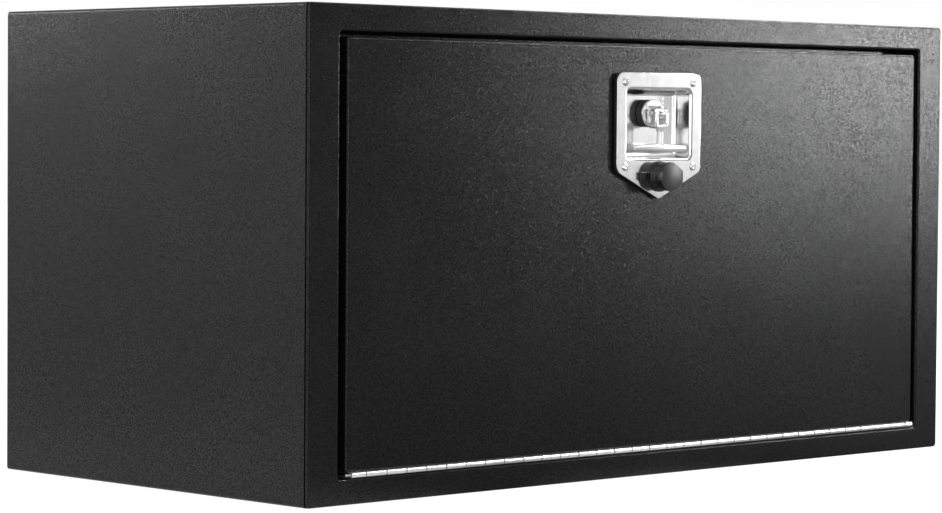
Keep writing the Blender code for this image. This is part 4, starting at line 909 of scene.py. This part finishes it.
def makeCapLid():
    # The lid's outline is a circle and the two straight lines from it to the tab's blunt end. Its face is
    # crowned: it falls by crown (r / reach)^2 away from the middle, in rings that shrink to the middle.
    size = {"ease": 0.0006, "corner": 0.0012, "crown": 0.0014}
    place = latchPlaces()
    front = place["face"] + cap["gap"] + cap["height"]
    back = front - cap["lidSheet"] + 0.0003
    reach, half, r = cap["tabReach"], cap["tabHalf"], cap["lid"]
    start = math.atan2(half, reach) + math.acos(r / math.hypot(reach, half))
    a = np.linspace(start, 2 * math.pi - start, 61)
    circle = r * np.stack([np.cos(a), np.sin(a)], 1)
    end, lean = bentPath([circle[-1], (reach, -half), (reach, half), circle[0]], size["corner"], 5, 0.0004)
    outline = np.concatenate([circle, end[1:-1]])
    inwards = np.concatenate([-unit(circle), lean[1:-1]])
    loops, outs = easedLoops(outline, inwards, size["ease"], back, front, 4)
    shares = np.linspace(0, 1, 10)[:, None, None]
    loops = np.concatenate([loops[:1] * shares, loops[1:]])
    outs = np.concatenate([np.full(len(shares), front), outs[1:]])[:, None]
    outs = outs - size["crown"] * ((loops ** 2).sum(-1) / reach ** 2) * (outs > back + 0.0008)
    grid = frontView(loops + np.array([0, place["lockZ"]]), 0)
    grid[..., 1] = -outs
    shell("dustCapLid", grid, "dust_cap", "capRubber", closed="last", slot="rubber", nodes=["dust_cap"])


def makeCapStrap():
    # A band of rounded section along a path seen from above, thickened at two ribs near its fold:
    # thickness = sheet + rib exp(-((s - place) / width)^2) on the outer side.
    size = {"rib": 0.0012, "ribWidth": 0.0007, "edge": 0.0005}
    place = latchPlaces()
    base = place["face"] + cap["gap"]
    low = box("dust_cap")[0]
    front = base + cap["height"]
    t = cap["strapSheet"]
    inner = -cap["rim"] - 0.0003 - t / 2
    out = base + 0.0006 + t / 2
    path, normal = bentPath([(low[0] + 0.00005, out), (inner, out), (inner, front - t / 2 - 0.0002),
                             (-cap["lid"] + 0.002, front - t / 2 - 0.0002)], 0.0013, 8, 0.0002)
    fine = np.linspace(0, 1, 90)
    run = np.concatenate([[0], np.cumsum(np.linalg.norm(np.diff(path, axis=0), axis=1))])
    at = fine * run[-1]
    path = np.stack([np.interp(at, run, path[:, k]) for k in (0, 1)], 1)
    normal = unit(np.stack([np.interp(at, run, normal[:, k]) for k in (0, 1)], 1))
    rib = sum(size["rib"] * np.exp(-((at - spot) / size["ribWidth"]) ** 2) for spot in (0.0062, 0.0098))
    across, up, a = roundedSection(t / 2, cap["strap"] / 2, size["edge"])
    across = across[None] + np.where(np.cos(a) > 0, 1, 0)[None] * rib[:, None]
    x = path[:, :1] + across * normal[:, :1]
    o = path[:, 1:] + across * normal[:, 1:]
    grid = np.stack([np.maximum(x, low[0]), -np.minimum(o, front), place["lockZ"] + up + 0 * x], -1)
    shell("dustCapStrap", grid, "dust_cap", "capRubber", closed="both", slot="rubber", nodes=["dust_cap"])


def makeStrapFoot():
    size = {"corner": 0.0006, "ease": 0.0004}
    low, high = box("strap_foot")
    x, z, a = roundedSection((high[0] - low[0]) / 2, (high[2] - low[2]) / 2, size["corner"])
    inwards = -np.stack([np.cos(a), np.sin(a)], 1)
    loops, outs = easedLoops(np.stack([x, z], 1), inwards, size["ease"], -high[1], -low[1])
    middle = (low + high) / 2
    plate("strapFoot", loops + np.array([middle[0], middle[2]]), outs, "door", "rubber", nodes=["strap_foot"])


makeFrontFrame()
makeBodyWrap()
makeEndPanel("leftEndPanel", "left_end_panel", -1)
makeEndPanel("rightEndPanel", "right_end_panel", 1)
makeDoorSkin()
makeStiffener("leftDoorStiffener", "left_door_stiffener")
makeStiffener("rightDoorStiffener", "right_door_stiffener")
makeDoorSeal()
print("steel box made")
makeHingeLeaf("hingeFrameLeaf", "hinge_frame_leaf", "box", -1, 0)
makeHingeLeaf("hingeDoorLeaf", "hinge_door_leaf", "door", 1, 1)
makeHingePin()
makeLeafRivets()
print("hinge made")
makeLatchDish()
makeLatchGasket()
makeLatchRivets()
makeHubSeal()
makeSpindleHead()
makeTongue()
makeShaft()
makeYoke()
makeHandleBar()
makeYokePin()
makeCapCup()
makeCapLid()
makeCapStrap()
makeStrapFoot()
print("latch made")


def finishNodes():
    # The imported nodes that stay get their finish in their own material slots.
    looks = {"spindle_bushing": "zinc_plate", "lock_housing": "polished_stainless", "lock_nut": "zinc_plate",
             "lock_disc": "zinc_plate", "spindle_spacer": "zinc_plate", "latch_cam": "zinc_plate",
             "cam_nut": "zinc_plate", "lock_plug": "stainless", "lock_pawl": "zinc_plate",
             "pawl_screw": "zinc_plate"}
    for node, finish in looks.items():
        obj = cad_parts[node]
        if not obj.material_slots:
            obj.data.materials.append(finishes[finish])
        for slot in obj.material_slots:
            slot.material = finishes[finish]


finishNodes()


# Studio: floor, world, lamps and camera

def makeFloor():
    # A pale floor. Camera, glossy and transmission rays see it near white, with the box's soft shadow on it.
    # Far off to the right front it lies in the dark room, for glossy rays alone.
    size = {"half": 9.0, "drop": 0.0002, "paint": 0.40, "glow": 0.85, "gloss": 0.42, "close": 0.45,
            "spread": (0.6, 1.2), "turn": 47.0, "near": 0.20, "far": 0.32, "roomEdge": (-0.35, 0.10),
            "roomPaint": 0.30}
    corners = np.array([[-1, -1], [1, -1], [1, 1], [-1, 1]]) * size["half"]
    points = np.concatenate([corners, np.full((4, 1), -size["drop"])], 1)
    mesh = bpy.data.meshes.new("studioFloor")
    mesh.from_pydata(points.tolist(), [], [[0, 1, 2, 3]])
    floor = bpy.data.objects.new("studioFloor", mesh)
    bpy.context.scene.collection.objects.link(floor)
    material = bpy.data.materials.new("paleFloor")
    material.use_nodes = True
    tree = material.node_tree
    tree.nodes.clear()
    nodes = Nodes(tree)
    rays = nodes.node("LightPath", None, None, output="Is Camera Ray")
    gloss = rays.part("Is Glossy Ray")
    place = nodes.node("TexCoord", None, None, output="Object")
    turn = math.radians(size["turn"])
    toRoom = (math.sin(turn), -math.cos(turn), 0)
    reach = nodes.measure("LENGTH", {0: place})
    ahead = nodes.measure("DOT_PRODUCT", {0: place, 1: toRoom})
    dark = nodes.smooth(reach, size["near"], size["far"]) * nodes.smooth(ahead / reach, *size["roomEdge"])
    seen = nodes.math("MAXIMUM", rays, rays.part("Is Transmission Ray"))
    pale = size["gloss"] + (1 - nodes.smooth(reach, *size["spread"])) * size["close"]
    seen = nodes.math("MAXIMUM", seen, gloss * (1 - dark) * pale)
    colour = nodes.mix(dark * gloss, grey(size["paint"]), grey(size["roomPaint"]))
    paint = nodes.node("BsdfDiffuse", None, {"Color": colour})
    glow = nodes.node("Emission", None, {"Color": grey(1), "Strength": seen * size["glow"]})
    both = nodes.node("AddShader", None, {0: paint, 1: glow})
    nodes.node("OutputMaterial", None, {"Surface": both})
    mesh.materials.append(material)


def makeWorld():
    # White for camera, glossy and transmission rays. What a gloss sees to the right front, near level height,
    # is a dark room with one pale card in it, and the diffuse light is a plain grey.
    look = {"ambient": 0.75, "gloss": 0.74, "wall": 0.66, "wallEdge": (0.58, 0.66),
            "room": 0.045, "card": 0.88, "turn": 47.0, "roomEdge": (0.60, 0.80), "roomHeight": (0.34, 0.52),
            "cardHalf": (0.040, 0.056), "cardHeight": (0.045, 0.065)}
    world = bpy.data.worlds.new("studio")
    bpy.context.scene.world = world
    world.use_nodes = True
    tree = world.node_tree
    tree.nodes.clear()
    nodes = Nodes(tree)
    rays = nodes.node("LightPath", None, None, output="Is Camera Ray")
    clear = nodes.math("MAXIMUM", rays, rays.part("Is Transmission Ray"))
    gloss = rays.part("Is Glossy Ray")
    direction = nodes.node("TexCoord", None, None, output="Generated")
    turn = math.radians(look["turn"])

    def along(vector):
        return nodes.measure("DOT_PRODUCT", {0: direction, 1: vector})
    ahead = along((math.sin(turn), -math.cos(turn), 0))
    aside = nodes.math("ABSOLUTE", along((math.cos(turn), math.sin(turn), 0)))
    level = nodes.math("ABSOLUTE", along((0, 0, 1)))
    room = nodes.smooth(ahead, *look["roomEdge"]) * (1 - nodes.smooth(level, *look["roomHeight"]))
    card = (1 - nodes.smooth(aside, *look["cardHalf"])) * (1 - nodes.smooth(level, *look["cardHeight"]))
    wall = nodes.smooth(along((-1, 0, 0)), *look["wallEdge"])
    shade = (look["gloss"] + wall * look["wall"]) * (1 - room)
    shade = shade + room * (look["room"] + card * (look["card"] - look["room"]))
    seen = nodes.math("MAXIMUM", clear, gloss * shade)
    strength = seen + (1 - nodes.math("MAXIMUM", clear, gloss)) * look["ambient"]
    sky = nodes.node("Background", None, {"Color": grey(1), "Strength": strength})
    nodes.node("OutputWorld", None, {"Surface": sky})


def placed(axes, place):
    return Matrix([[*row, place[k]] for k, row in enumerate(axes.tolist())] + [[0, 0, 0, 1]])


def addLamp(name, place, target, width, height, radiance):
    # An area lamp's power is pi times its area times its radiance.
    lamp = bpy.data.lights.new(name, "AREA")
    lamp.shape = "RECTANGLE"
    lamp.size, lamp.size_y, lamp.energy = width, height, math.pi * width * height * radiance
    obj = bpy.data.objects.new(name, lamp)
    aim = np.array(target, float) - np.array(place, float)
    turn = -unit(aim)
    side = unit(np.cross([0, 0, 1.0], turn))
    up = np.cross(turn, side)
    obj.matrix_world = placed(np.stack([side, up, turn], 1), place)
    obj.visible_camera = False
    bpy.context.scene.collection.objects.link(obj)


def makeLamps():
    # A tall narrow softbox stands to the right front, and another behind the left end. One high up on the
    # right and one to the left front catch only the bends.
    addLamp("keyStrip", (2.85, -2.21, 0.559), (0.0, -0.23, 0.34), 0.15, 0.48, 87)
    addLamp("endStrip", (-2.93, 4.35, 1.65), (-0.457, 0.0, 0.25), 0.30, 1.76, 36)
    addLamp("highCard", (2.60, -1.25, 2.30), (0.2, -0.23, 0.43), 0.30, 0.30, 200)
    addLamp("frontCard", (-1.25, -3.30, 0.40), (-0.41, -0.23, 0.25), 0.30, 1.20, 12)


def makeCamera():
    # Standing to the box's left front, a little above its middle and tipped slightly down, with a long lens.
    view = {"place": (-2.4125, -2.4598, 0.346), "yaw": 44.06, "pitch": -2.255, "roll": 0.415, "focal": 3297,
            "width": 942, "sensor": 36}
    yaw, pitch, roll = (math.radians(view[k]) for k in ("yaw", "pitch", "roll"))
    forward = np.array([math.sin(yaw) * math.cos(pitch), math.cos(yaw) * math.cos(pitch), math.sin(pitch)])
    right = np.array([math.cos(yaw), -math.sin(yaw), 0])
    up = np.cross(right, forward)
    tiltedRight = right * math.cos(roll) + up * math.sin(roll)
    tiltedUp = -right * math.sin(roll) + up * math.cos(roll)
    lens = bpy.data.cameras.new("camera")
    lens.sensor_width = view["sensor"]
    lens.sensor_fit = "HORIZONTAL"
    lens.lens = view["focal"] * view["sensor"] / view["width"]
    lens.clip_start, lens.clip_end = 0.1, 100
    camera = bpy.data.objects.new("camera", lens)
    camera.matrix_world = placed(np.stack([tiltedRight, tiltedUp, -forward], 1), view["place"])
    bpy.context.scene.collection.objects.link(camera)
    bpy.context.scene.camera = camera


makeFloor()
makeWorld()
makeLamps()
makeCamera()
bpy.context.scene.view_settings.view_transform = "Standard"
print("studio ready")
